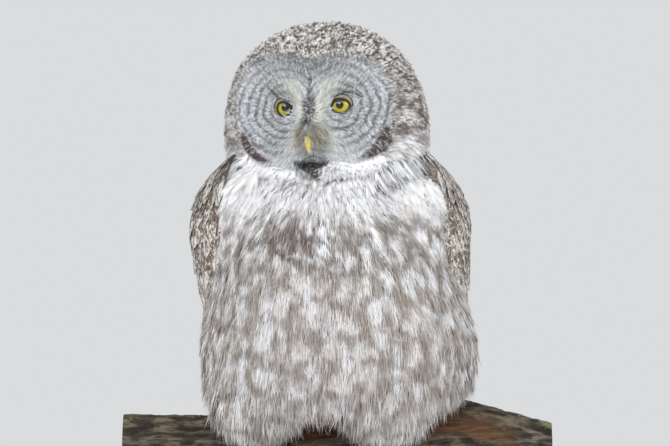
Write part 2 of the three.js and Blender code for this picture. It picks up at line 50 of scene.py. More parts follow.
def paint(red, green, blue):
    """A colour matched from 0 to 255, as the light that it gives back"""
    return (*(((c / 255 + 0.055) / 1.055) ** 2.4 for c in (red, green, blue)), 1)


class Signal:
    """A node's output that takes Python's arithmetic"""

    def __init__(self, finish, socket):
        self.finish = finish
        self.socket = socket

    def __add__(self, other):
        return self.finish.maths("ADD", self, other)

    def __sub__(self, other):
        return self.finish.maths("SUBTRACT", self, other)

    def __rsub__(self, other):
        return self.finish.maths("SUBTRACT", other, self)

    def __mul__(self, other):
        return self.finish.maths("MULTIPLY", self, other)

    def __truediv__(self, other):
        return self.finish.maths("DIVIDE", self, other)

    def __abs__(self):
        return self.finish.maths("ABSOLUTE", self)

    __radd__ = __add__
    __rmul__ = __mul__

    def sine(self):
        return self.finish.maths("SINE", self)

    def between(self, low, high):
        """0 at low and 1 at high, with a smooth step from one to the other"""
        ends = {"Value": self, "From Min": low, "From Max": high}
        return self.finish.node("MapRange", {"interpolation_type": "SMOOTHSTEP"}, ends)

    def stretch(self, x, y, z):
        return self.finish.node("VectorMath", {"operation": "MULTIPLY"}, {0: self, 1: (x, y, z)})

    def split(self):
        return self.finish.node("SeparateXYZ", {}, {0: self}, (0, 1, 2))

    def near(self, place, width):
        """1 at a place, falling off as a bell over its width"""
        away = (self - place) / width
        return self.finish.maths("EXPONENT", away * away * -1)


class Finish:
    """A material: its shader, and the nodes that feed it"""

    def __init__(self, name, sockets):
        self.material = bpy.data.materials.new(name)
        self.material.use_nodes = True
        self.tree = self.material.node_tree
        self.shader = self.tree.nodes["Principled BSDF"]
        for socket, value in sockets.items():
            self.shader.inputs[socket].default_value = value

    def node(self, kind, settings, sockets, out=0):
        made = self.tree.nodes.new("ShaderNode" + kind)
        for key, value in settings.items():
            setattr(made, key, value)
        for key, value in sockets.items():
            if isinstance(value, Signal):
                self.tree.links.new(value.socket, made.inputs[key])
            else:
                made.inputs[key].default_value = value
        if isinstance(out, tuple):
            return [Signal(self, made.outputs[i]) for i in out]
        return Signal(self, made.outputs[out])

    def feed(self, socket, signal):
        self.tree.links.new(signal.socket, self.shader.inputs[socket])

    def maths(self, operation, *terms):
        return self.node("Math", {"operation": operation}, dict(enumerate(terms)))

    def mix(self, share, one, other, kind="MIX"):
        settings = {"data_type": "RGBA", "blend_type": kind}
        return self.node("Mix", settings, {0: share, 6: one, 7: other}, 2)

    def coats(self, ground, *paints):
        """Paints laid over a ground one after another, each by its own share"""
        for share, colour in paints:
            ground = self.mix(share, ground, colour)
        return ground

    def place(self):
        return self.node("TexCoord", {}, {}, 3)

    def mark(self, name, out=1):
        return self.node("Attribute", {"attribute_name": name}, {}, out)

    def join(self, x, y, z):
        return self.node("CombineXYZ", {}, {0: x, 1: y, 2: z})

    def noise(self, vector, scale=1.0, detail=2.0, roughness=0.5):
        """Fractal noise at a place, which may also be given as three measures"""
        if isinstance(vector, tuple):
            vector = self.join(*vector)
        sockets = {"Vector": vector, "Scale": scale, "Detail": detail, "Roughness": roughness}
        return self.node("TexNoise", {}, sockets)

    def bump(self, height, distance, strength=1.0):
        sockets = {"Strength": strength, "Distance": distance, "Height": height}
        self.feed("Normal", self.node("Bump", {}, sockets))


def add_object(name, data):
    made = bpy.data.objects.new(name, data)
    bpy.context.scene.collection.objects.link(made)
    return made


def single(values):
    """Values in one row of single precision, as a mesh takes them"""
    return np.ascontiguousarray(values, np.float32).ravel()


def piece(name, points, faces, finishes, slot, stands_for=(), marks=(), normals=None, cut=None):
    """A mesh on the model's one body, from arrays of faces of equal corners and from values at its points"""
    mesh = bpy.data.meshes.new(name)
    mesh.vertices.add(len(points))
    mesh.vertices.foreach_set("co", single(points))
    corners = np.concatenate([np.asarray(group, np.int32).ravel() for group in faces])
    sizes = np.concatenate([np.full(len(group), group.shape[1]) for group in faces])
    mesh.loops.add(len(corners))
    mesh.loops.foreach_set("vertex_index", corners)
    mesh.polygons.add(len(sizes))
    mesh.polygons.foreach_set("loop_start", np.concatenate([[0], np.cumsum(sizes)[:-1]]).astype(np.int32))
    mesh.polygons.foreach_set("use_smooth", np.ones(len(sizes), bool))
    if cut is not None:
        mesh.polygons.foreach_set("material_index", cut.astype(np.int32))
    mesh.update(calc_edges=True)
    layers = dict(marks)
    if normals is not None:
        layers["custom_normal"] = normals
    for label, values in layers.items():
        if values.shape[1:] == (2,):
            mesh.uv_layers.new(name=label).data.foreach_set("uv", single(values[corners]))
        else:
            kind, key = ("FLOAT", "value") if values.ndim == 1 else ("FLOAT_VECTOR", "vector")
            mesh.attributes.new(label, kind, "POINT").data.foreach_set(key, single(values))
    if normals is None:
        shell = bmesh.new()
        shell.from_mesh(mesh)
        bmesh.ops.recalc_face_normals(shell, faces=shell.faces)
        shell.to_mesh(mesh)
        shell.free()
    for finish in finishes:
        mesh.materials.append(finish.material)
    made = add_object(name, mesh)
    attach(made, "root")
    if stands_for:
        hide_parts(*stands_for)


def columns(*parts):
    """Numbers and arrays, spread to one shape and set side by side along a new last axis"""
    return np.stack(np.broadcast_arrays(*parts), -1)


def turns(count):
    """Angles at even steps once round"""
    return np.linspace(0, 2 * np.pi, count, endpoint=False)


def loft(rings):
    """Points and faces of a closed skin over rings of points, with a fan at each end"""
    count, around = rings.shape[:2]
    points = np.concatenate([rings.reshape(-1, 3), rings[[0, -1]].mean(axis=1)])
    i = np.arange(around)
    j = (i + 1) % around
    row = (np.arange(count - 1) * around)[:, None]
    quads = columns(row + i, row + j, row + around + j, row + around + i).reshape(-1, 4)
    first, last, top = count * around, count * around + 1, (count - 1) * around
    fans = np.concatenate([
        columns(first, j, i),
        columns(last, top + i, top + j),
    ])
    return points, [quads, fans]


def turned(outline, half_width, half_depth, around, middle_x=0.0):
    """Rings of a piece turned on a lathe, from insets from its widest edge and heights, in millimetres"""
    turn = turns(around)
    return np.array([
        columns(middle_x + (half_width - inset) * np.cos(turn), (half_depth - inset) * np.sin(turn), height)
        for inset, height in np.array(outline) / 1000
    ])


walnut = Finish("satin_walnut", {"Coat Weight": 0.35, "Coat Roughness": 0.28})
board = walnut.place()
figure = walnut.noise(board.stretch(2.2, 9, 9), 3.1, 3.0)
rings = ((figure * 46).sine() * 0.5 + 0.5) * walnut.noise(board.stretch(4, 40, 40), 2.0)
pores = walnut.noise(board.stretch(38, 950, 950), 1.0, 1.0).between(0.58, 0.72)
walnut.feed("Base Color", walnut.coats(
    paint(122, 82, 52),
    (figure.between(0.3, 0.7), paint(94, 60, 38)),
    (rings * 1.1, paint(66, 40, 26)),
    (pores * 0.55, paint(40, 24, 16)),
))
walnut.feed("Roughness", 0.34 + rings * 0.12 + pores * 0.12)
walnut.bump(rings * 0.2 - pores, 0.0003, 0.35)
edge = [(4, 0), (1.2, 0.2), (0.3, 1), (0, 2.4), (0, 11), (0.4, 13.4), (1.5, 15.6), (3.4, 17.1), (6, 17.8)]
edge += [(inset, BASE_THICK) for inset in (9, 30, 70, 110, 128)]
board_rings = turned(edge, BASE_HALF_WIDTH, BASE_HALF_DEPTH, 160)
piece("oval_base", *loft(board_rings), [walnut], "stand_wood", ["stand_base"])


# Rods: two lengths of 10 mm steel bar, brushed round their length. Each stands in a low turned collar
# that is screwed down on the base, and its upper end is glued into a hole in the branch.
ROD_PLACES = {"right": -0.120, "left": 0.118}
COLLAR_RADIUS = 0.0095
ROD_TOP = 214.8
steel = Finish("brushed_steel", {"Metallic": 1.0, "Anisotropic": 0.4})
brushing = steel.noise(steel.place().stretch(60, 60, 5200))
steel.feed("Base Color", steel.mix(brushing, paint(148, 150, 152), paint(188, 189, 190)))
steel.feed("Roughness", 0.24 + brushing * 0.2)
steel.bump(brushing, 0.0001, 0.25)
collar = [(0.3, 18.1), (0, 18.5), (0, 20.6), (0.5, 21.3), (1.4, 21.6), (4.3, 21.7)]
collar += [(4.5, height) for height in (22, 60, 120, 180, ROD_TOP)]
for side_name, rod_x in ROD_PLACES.items():
    rod_rings = turned(collar, COLLAR_RADIUS, COLLAR_RADIUS, 40, rod_x)
    piece(f"steel_rod_{side_name}", *loft(rod_rings), [steel], "stand_steel", [f"stand_rod_{side_name}"])


# Perch: a bent length of dead conifer branch, sawn square at both ends. Grey-brown furrowed bark covers it,
# worn through to orange-brown wood in two places, with a few grey-green lichen patches.
PERCH_RADIUS = 0.035
PERCH_LINE = [(-215, 8, 227), (-120, 2, 229), (-20, 0, 229), (60, 0, 235), (112, 0, 245), (162, -3, 236),
              (215, -8, 222)]


def spline(points, places):
    """Points at shares of the length of a smooth curve through points in millimetres"""
    through = np.array(points, float) / 1000
    knots = np.concatenate([[0], np.cumsum(np.linalg.norm(np.diff(through, axis=0), axis=1))])
    slope = np.gradient(through, knots, axis=0)
    fine = np.linspace(0, knots[-1], 400)
    i = np.clip(np.searchsorted(knots, fine, side="right") - 1, 0, len(through) - 2)
    gap = (knots[i + 1] - knots[i])[:, None]
    t = (fine - knots[i])[:, None] / gap
    curve = (2 * t**3 - 3 * t**2 + 1) * through[i] + (3 * t**2 - 2 * t**3) * through[i + 1]
    curve = curve + gap * ((t**3 - 2 * t**2 + t) * slope[i] + (t**3 - t**2) * slope[i + 1])
    run = np.concatenate([[0], np.cumsum(np.linalg.norm(np.diff(curve, axis=0), axis=1))]) / knots[-1]
    run = run / run[-1]
    return columns(*(np.interp(places, run, curve[:, k]) for k in range(3)))


def bell(distance, width):
    return np.exp(-((distance / width) ** 2))


def grain(points, stretch, octaves=4):
    """Fractal noise at points that are stretched along each axis"""
    scaled = points * np.array(stretch)
    return np.array([noise.fractal(Vector(p), 0.9, 2.0, octaves) for p in scaled.reshape(-1, 3)]).reshape(
        points.shape[:-1]
    )


PERCH_ALONG, PERCH_AROUND = 400, 150
run = np.linspace(0, 1, PERCH_ALONG)[:, None]
turn = turns(PERCH_AROUND)
middle = spline(PERCH_LINE, run[:, 0])[:, None, :]
unrolled = columns(middle[..., 0], PERCH_RADIUS * np.cos(turn), PERCH_RADIUS * np.sin(turn))
worn = np.minimum(1, 1.25 * bell(middle[..., 0] + 0.018, 0.028) * bell(turn - 0.75, 0.5)
                  + 1.35 * bell(middle[..., 0] - 0.122, 0.040) * bell(turn - 0.35, 0.42)
                  + 0.8 * bell(middle[..., 0] - 0.05, 0.05) * bell(turn - 1.1, 0.25))
worn = np.clip(worn + 0.35 * grain(unrolled, (45, 60, 60)), 0, 1) * (worn > 0.12)
furrows = 1 - np.abs(grain(unrolled, (26, 95, 95))) * 2.2
plates = grain(unrolled, (60, 130, 130), 3)
rough = (0.0014 * furrows + 0.0009 * plates - 0.0012) * (1 - 0.75 * worn) - 0.0016 * worn
swell = 1 + 0.03 * np.sin(5 * turn + 9 * run) + 0.022 * np.sin(9 * turn - 16 * run) + 0.02 * np.sin(13 * run)
radius = PERCH_RADIUS * swell + rough
outer = columns(middle[..., 0], middle[..., 1] - radius * np.cos(turn),
                middle[..., 2] + radius * np.sin(turn))
# Each sawn end closes in over two more rings, so that the rim stays crisp.
closing = {end: [outer[[end]] * (1 - t) + middle[[end]] * t for t in (0.015, 0.5)] for end in (0, -1)}
branch_rings = np.concatenate([*closing[0][::-1], outer, *closing[-1]])
branch_points, branch_faces = loft(branch_rings)
quads = branch_faces[0].reshape(-1, PERCH_AROUND, 4)
sawn = np.zeros(quads.shape[:2], bool)
sawn[[0, 1, -2, -1]] = True
is_end = np.concatenate([sawn.ravel(), np.ones(len(branch_faces[1]), bool)])
at_ends = np.zeros((2, PERCH_AROUND))
radial = np.linalg.norm(branch_rings - branch_rings.mean(axis=1, keepdims=True), axis=-1)
bark_marks = {
    "worn": np.concatenate([at_ends, worn, at_ends]),
    "furrow": np.concatenate([at_ends, furrows, at_ends]),
    "radial": radial,
}
bark_marks = {label: np.append(values.ravel(), [0, 0]) for label, values in bark_marks.items()}
bark = Finish("furrowed_bark", {"Specular IOR Level": 0.25})
limb = bark.place()
flake = bark.noise(limb.stretch(55, 150, 150), 1.0, 4.0, 0.6)
crack = bark.noise(limb.stretch(28, 260, 260), 1.0, 3.0, 0.6)
deep = bark.mark("furrow", 2).between(0.75, 0.1)
weathered = bark.noise(limb, 24, 3.0).between(0.56, 0.68)
lichen = bark.noise(limb, 31, 4.0, 0.6).between(0.6, 0.66) * limb.split()[2].between(0.238, 0.262)
outside = bark.coats(
    paint(58, 51, 42),
    (flake.between(0.32, 0.68), paint(106, 95, 82)),
    (weathered * 0.55, paint(120, 112, 98)),
    # Painted shade darkens the cracks and the depths of the furrows
    (crack.between(0.5, 0.36) * 0.7, paint(34, 29, 25)),
    (deep * 0.75, paint(30, 26, 22)),
    (lichen * 0.7, paint(116, 122, 84)),
)
bare = bark.mark("worn", 2)
fibres = bark.noise(limb.stretch(30, 620, 620))
stain = bark.noise(limb.stretch(14, 90, 90))
wood = bark.coats(
    paint(56, 37, 25),
    (fibres.between(0.3, 0.7), paint(104, 71, 44)),
    (stain.between(0.52, 0.66), paint(70, 48, 34)),
)
bark.feed("Base Color", bark.mix(bare, outside, wood))
bark.feed("Roughness", 0.93 - bare * 0.16)
bark.bump(flake * 0.6 + crack * 0.8 + fibres * bare * 0.4, 0.0022, 0.8)
sawn_end = Finish("sawn_end", {"Roughness": 0.85, "Specular IOR Level": 0.3})
from_heart = sawn_end.mark("radial", 2) + sawn_end.noise(sawn_end.place(), 60, 2.0) * 0.0016
growth = (from_heart * 4300).sine() * 0.5 + 0.5
saw_marks = sawn_end.noise(sawn_end.place().stretch(40, 120, 900), 1.0, 1.0)
sawn_end.feed("Base Color", sawn_end.coats(
    paint(186, 160, 122),
    (growth * 0.55, paint(138, 106, 72)),
    (from_heart.between(0.0318, 0.0332), paint(70, 52, 38)),
    (saw_marks.between(0.55, 0.7) * 0.4, paint(112, 88, 62)),
))
sawn_end.bump(saw_marks, 0.0005, 0.4)
piece("branch", branch_points, branch_faces, [bark, sawn_end], "bark", ["perch"], bark_marks, cut=is_end)


# Skin: the bird's own closed surface under its feathers, one sheet over head, neck, breast, back, rump,
# thighs, toes and the flesh of both folded wings. It carries the same markings as the feathers over it.
HEAD_CENTRE = np.array([-0.011, 0.002, 0.5485])
HEAD_TURN = math.radians(-13)
HEAD_ROLL = math.radians(-2.5)
BODY_TOP = 0.512
BODY_BOTTOM = 0.272
BODY_ROUND = 0.9


def profile(*pairs, scale=0.001):
    """A smooth curve through pairs of millimetres, level past both ends"""
    at, size = np.array(pairs, float).T
    at = at / 1000
    size = size * scale
    below = np.maximum(np.arange(len(at)) - 1, 0)
    above = np.minimum(np.arange(len(at)) + 1, len(at) - 1)
    slope = (size[above] - size[below]) / (at[above] - at[below])

    def read(place):
        i = np.clip(np.searchsorted(at, place) - 1, 0, len(at) - 2)
        gap = at[i + 1] - at[i]
        t = np.clip((place - at[i]) / gap, 0, 1)
        eased = size[i] + (size[i + 1] - size[i]) * (t * t * (3 - 2 * t))
        return eased + gap * t * (1 - t) * (slope[i] * (1 - t) - slope[i + 1] * t)

    return read


body_half = profile((272, 88), (290, 120), (312, 133), (338, 137), (380, 129), (430, 118), (470, 109),
                    (490, 104), (512, 99))
body_front = profile((272, 64), (290, 94), (310, 106), (338, 113), (385, 112), (430, 104), (470, 87),
                     (490, 69), (512, 47))
body_back = profile((272, 64), (290, 82), (312, 92), (338, 96), (385, 97), (430, 95), (470, 88), (512, 80))
body_middle = profile((272, -3), (330, 2), (380, -1), (430, -6), (470, -10), (512, -11))


def power(value, exponent):
    return np.sign(value) * np.abs(value) ** exponent


def unit(vector):
    return vector / np.maximum(np.linalg.norm(vector, axis=-1, keepdims=True), 1e-12)


def rise(value, low, high):
    t = np.clip((value - low) / (high - low), 0, 1)
    return t * t * (3 - 2 * t)


def body(angle, height, depth=0.0):
    """Breast and back by the angle round them, 0 in front, and by height, at a depth under the feathers"""
    reach = np.where(np.cos(angle) > 0, body_front(height), body_back(height)) - depth
    across = body_middle(height) + (body_half(height) - depth) * power(np.sin(angle), BODY_ROUND)
    return columns(across, -reach * power(np.cos(angle), BODY_ROUND), height)


DISC = {"side": 0.080, "tall": 0.058, "height": 0.0225, "face": -0.066}
DISC_SQUARE = 3.3
EYE = {"apart": 0.0279, "height": 0.0249, "depth": -0.0478, "radius": 0.0135}


def disc_edge(around):
    """How far out the disc's edge lies against an ellipse: fuller at its corners, notched at the forehead"""
    across, up = np.cos(around), np.sin(around)
    square = DISC_SQUARE - 1.2 * across * np.maximum(up, 0)
    full = (np.abs(across) ** square + np.abs(up) ** square) ** (-1 / square)
    return full * (1 - 0.14 * bell(across, 0.24) * (up > 0))


def disc_reach(x, z):
    """How far out a place lies on the face, 1 at the disc's edge"""
    x, up = x / DISC["side"], (z - DISC["height"]) / DISC["tall"]
    return np.hypot(x, up) / disc_edge(np.arctan2(up, x))


def face_depth(x, z, reach):
    up = z - DISC["height"]
    dish = 0.007 * np.exp(-((np.abs(x) - EYE["apart"]) ** 2 + (z - EYE["height"]) ** 2) / (2 * 0.015**2))
    bridge = 0.014 * bell(x, 0.009) * bell(up + 0.014, 0.022)
    brow = 0.0035 * bell((np.abs(x) - 0.024) * 0.37 - (up - 0.013) * 0.93, 0.004)
    brow = brow * bell(np.abs(x) - 0.024, 0.020)
    rim = 0.004 * bell(reach - 0.94, 0.07)
    bow = 0.024 * (x / DISC["side"]) ** 2 + np.where(up > 0, 0.016, 0.010) * (up / DISC["tall"]) ** 2
    return DISC["face"] + bow + dish - bridge - brow - rim


def on_skull(way):
    tall = np.where(way[..., 2] > 0, 0.1105, 0.074)
    deep = np.where(way[..., 1] > 0, 0.090, 0.072)
    total = np.abs(way[..., 0] / 0.104) ** 2.15 + np.abs(way[..., 1] / deep) ** 2.15
    total = total + np.abs(way[..., 2] / tall) ** 2.15
    return way * (total ** (-1 / 2.15))[..., None]


def face(around, reach):
    edge = reach * disc_edge(around)
    x = DISC["side"] * edge * np.cos(around)
    z = DISC["height"] + DISC["tall"] * edge * np.sin(around)
    return columns(x, face_depth(x, z, reach), z)


def head(around, reach, depth=0.0):
    """The head in its own frame, by the angle round the face and by reach: 1 at the rim, 2 at the back"""
    around, reach = np.broadcast_arrays(np.asarray(around, float), np.asarray(reach, float))
    inner = face(around, np.minimum(reach, 1))
    rim = face(around, np.ones_like(reach))
    start = unit(rim)
    whole = np.arccos(np.clip(start[..., 1], -1, 1))
    share = np.clip(reach - 1, 0, 1)
    back = np.zeros_like(start)
    back[..., 1] = 1
    way = (np.sin((1 - share) * whole)[..., None] * start + np.sin(share * whole)[..., None] * back)
    way = unit(way)
    fade = (1 - rise(reach, 1, 1.22))[..., None]
    outer = on_skull(way) + (rim - on_skull(start)) * fade
    at = np.where((reach <= 1)[..., None], inner, outer)
    return at - unit(at) * np.asarray(depth)[..., None]


cos_turn, sin_turn, cos_roll, sin_roll = (f(a) for a in (HEAD_TURN, HEAD_ROLL) for f in (math.cos, math.sin))
HEAD_AXES = np.array([[cos_turn, -sin_turn, 0], [sin_turn, cos_turn, 0], [0, 0, 1]]) @ np.array(
    [[cos_roll, 0, sin_roll], [0, 1, 0], [-sin_roll, 0, cos_roll]]
)


def from_head(points):
    return HEAD_CENTRE + points @ HEAD_AXES.T


def to_head(points):
    return (points - HEAD_CENTRE) @ HEAD_AXES


WING_TOP = 0.532
WING_TIP = 0.095
WRIST_AHEAD = {-1: 0, 1: math.radians(11)}
WING_SPREAD = {-1: 1.045, 1: 0.945}
wing_side = profile((95, 42), (170, 64), (250, 94), (320, 119), (385, 134), (440, 140), (470, 139),
                    (495, 128), (515, 114), (532, 96))
wing_deep = profile((95, 27), (170, 41), (250, 62), (320, 82), (385, 92), (440, 96), (495, 92), (532, 84))
wing_middle = profile((95, 84), (170, 69), (250, 46), (320, 24), (385, 12), (440, 8), (532, 4))
wing_front = profile((95, 112), (170, 100), (250, 92), (320, 82), (385, 70), (440, 61), (480, 62), (510, 78),
                     (532, 100), scale=math.pi / 180)
wing_back = profile((95, 158), (170, 168), (250, 174), (320, 172), (385, 166), (440, 160), (500, 150),
                    (532, 140), scale=math.pi / 180)
wing_thick = profile((95, 1.8), (170, 3.5), (250, 5.5), (320, 9), (385, 18), (440, 27), (480, 28), (510, 20),
                     (532, 8))


def wing_shell(side, angle, height, depth):
    """Outside of a folded wing by the angle round the body and by height, at a depth under the feathers"""
    spread = 1 + (WING_SPREAD[side] - 1) * rise(height, 0.330, 0.460)
    x = side * (wing_side(height) * spread - depth) * np.sin(angle)
    y = wing_middle(height) - (wing_deep(height) - depth) * np.cos(angle)
    return columns(x, y, height)


def wing(side, along, across, depth=0.0):
    """A folded wing, from shoulder 0 to tip 1 and from its front edge 0 to its back edge 1"""
    height = WING_TOP + (WING_TIP - WING_TOP) * along
    front = wing_front(height) - WRIST_AHEAD[side] * rise(height, 0.420, 0.475)
    return wing_shell(side, front + (wing_back(height) - front) * across, height, depth)


FEET = {-1: np.array([-0.078, 0, 0.229]), 1: np.array([0.048, 0, 0.234])}
SIDE_NAMES = {-1: "right", 1: "left"}
TOE_DEPTH = 0.0065
ACROSS = np.array([1.0, 0, 0])
TOES = {"inner_front": (-15, -1), "outer_front": (15, -1), "inner_back": (-14, 1), "outer_back": (14, 1)}
toe_girth = profile((0, 8), (300, 8.6), (550, 7.4), (800, 7.6), (930, 6), (1000, 3))


def bent_over(run):
    """The angle down from the top of the branch, from the root of a toe to its end"""
    return 0.15 + 1.10 * run


def toe_line(foot, name, angle, lift):
    """Where a toe lies round the branch, by the angle down from the top of it"""
    out, way = TOES[name]
    reach = PERCH_RADIUS * 1.05 + lift
    x = foot[0] + out / 1000 * (0.45 + 0.5 * angle)
    return columns(x, foot[1] + way * reach * np.sin(angle), foot[2] + reach * np.cos(angle))


def toe(foot, name, turn, run, depth=0.0):
    """A toe's surface by the angle round it and by the share of its length"""
    angle = bent_over(run)
    line = toe_line(foot, name, angle, TOE_DEPTH)
    ahead = unit(toe_line(foot, name, angle + 0.01, TOE_DEPTH) - line)
    up = unit(np.cross(ahead, ACROSS))
    girth = (toe_girth(run) - depth)[..., None]
    return line + girth * (np.cos(turn)[..., None] * ACROSS + np.sin(turn)[..., None] * up)


def egg(middle, size):
    polar, turn = np.linspace(0.06, np.pi - 0.06, 24)[:, None], turns(36)
    shape = columns(np.sin(polar) * np.cos(turn), np.sin(polar) * np.sin(turn), np.cos(polar))
    return np.array(middle) + shape * np.array(size)


def wing_flesh(side):
    """Rings round the thick upper part of a folded wing, under its coverts"""
    across = np.concatenate([np.linspace(0.03, 0.97, 16), np.linspace(0.97, 0.03, 16)])
    along = np.linspace(0.03, 0.62, 30)[:, None]
    height = WING_TOP + (WING_TIP - WING_TOP) * along
    thick = wing_thick(height) * np.sqrt(np.clip(1 - (2 * across - 1) ** 4, 0.05, 1))
    under = np.arange(32) >= 16
    return wing(side, along, across, np.where(under, 0.006 + thick * 0.8, 0.006))


def thigh_middle(side):
    return np.array([FEET[side][0] - 0.002, -0.048, 0.285])


def skin_parts():
    turn = turns(96)
    height = np.linspace(BODY_BOTTOM + 0.004, BODY_TOP - 0.004, 60)[:, None]
    yield body(turn, height, 0.009)
    yield egg((0, 0.070, 0.285), (0.048, 0.022, 0.052))
    yield egg((0, 0.085, 0.235), (0.022, 0.008, 0.060))
    reach = np.linspace(0.02, 1.98, 110)[:, None]
    yield from_head(head(turn, reach, 0.0025 + 0.0025 * rise(reach, 1.0, 1.25)))
    for side, foot in FEET.items():
        yield wing_flesh(side)
        yield egg(thigh_middle(side), (0.037, 0.027, 0.036))
        yield egg((foot[0], -0.006, foot[2] + 0.045), (0.016, 0.017, 0.020))
        for name in TOES:
            yield toe(foot, name, turns(24), np.linspace(0, 0.98, 16)[:, None], 0.0012)


def lay(points):
    """Where points lie on the body: distance across the fall of the feathers, height, and share of back"""
    height = points[..., 2]
    sine = power((points[..., 0] - body_middle(height)) / body_half(height), 1 / BODY_ROUND)
    deep = np.where(points[..., 1] < 0, body_front(height), body_back(height))
    angle = np.arctan2(sine, power(-points[..., 1] / deep, 1 / BODY_ROUND))
    return columns(0.12 * angle / fan(height), height, rise(np.abs(angle), 1.85, 2.15))


def fan(height):
    """How far the breast feathers have spread from under the chin, 1 from the middle of the breast down"""
    return 1 - 0.5 * rise(height, 0.415, 0.530)


def reach_of(points):
    """How far out from the middle of the face points lie, 1 at the disc's rim"""
    local = to_head(points)
    flat = disc_reach(local[..., 0], local[..., 2])
    return np.where(local[..., 1] < 0, flat, np.maximum(flat, 1.35))


WHITE = paint(246, 247, 250)
CREAM = paint(220, 214, 202)
TAUPE = paint(146, 133, 124)
UMBER = paint(110, 96, 88)
SOOT = paint(38, 33, 31)


def body_colours(finish):
    """Strings of soft dark smudges over white on the breast and belly, mottled brown on the back"""
    where = finish.mark("on_body")
    across, height, back = where.split()
    drift = finish.noise(where, 21, 3.0, 0.6) - 0.5
    sway = finish.noise((across + 0.4, height, back), 21, 3.0, 0.6) - 0.5
    cells = finish.join(across / 0.0200 + drift * 1.7, height / 0.032 + sway * 1.7, 0.0)
    settings = {"voronoi_dimensions": "2D", "feature": "DISTANCE_TO_EDGE"}
    edge = finish.node("TexVoronoi", settings, {"Vector": cells, "Scale": 1.0, "Randomness": 0.9})
    soft = finish.noise((across / 0.0135, height / 0.023, 3.0), 1.0, 3.0, 0.6)
    strings = finish.noise((across / 0.0120, height / 0.070, 9.0))
    strands = finish.noise((across / 0.0020, height / 0.018, 7.0))
    band = height.near(0.438, 0.020) * across.near(-0.038, 0.034) * 0.13
    amount = edge.between(0.34, 0.02) * 0.20 + soft + strings * 0.66 + strands * 0.22 + band
    smudge = amount.between(0.85, 1.21)
    streak = finish.noise((across / 0.0085, height / 0.085, 1.0)).between(0.50, 0.66)
    top = height.between(0.448, 0.482)
    cheek = across.near(0.144, 0.040) * height.near(0.485, 0.024)
    shown = smudge * (1 - top * 0.92) + streak * top * (0.14 + cheek * 0.50)
    dark = finish.mix(height.between(0.380, 0.430), TAUPE, UMBER)
    pale = finish.mix(height.between(0.405, 0.455), paint(230, 230, 233), WHITE)
    pale = finish.mix(soft.between(0.35, 0.65) * 0.60 * (1 - top * 0.6), pale, CREAM)
    front = finish.mix(shown * (0.82 + band), pale, dark)
    mottle = finish.noise((across / 0.010, height / 0.008, 5.0), 1.0, 4.0, 0.65)
    behind = finish.coats(UMBER, (mottle.between(0.42, 0.60), CREAM), (streak * 0.45, SOOT))
    return finish.mix(back, front, behind)


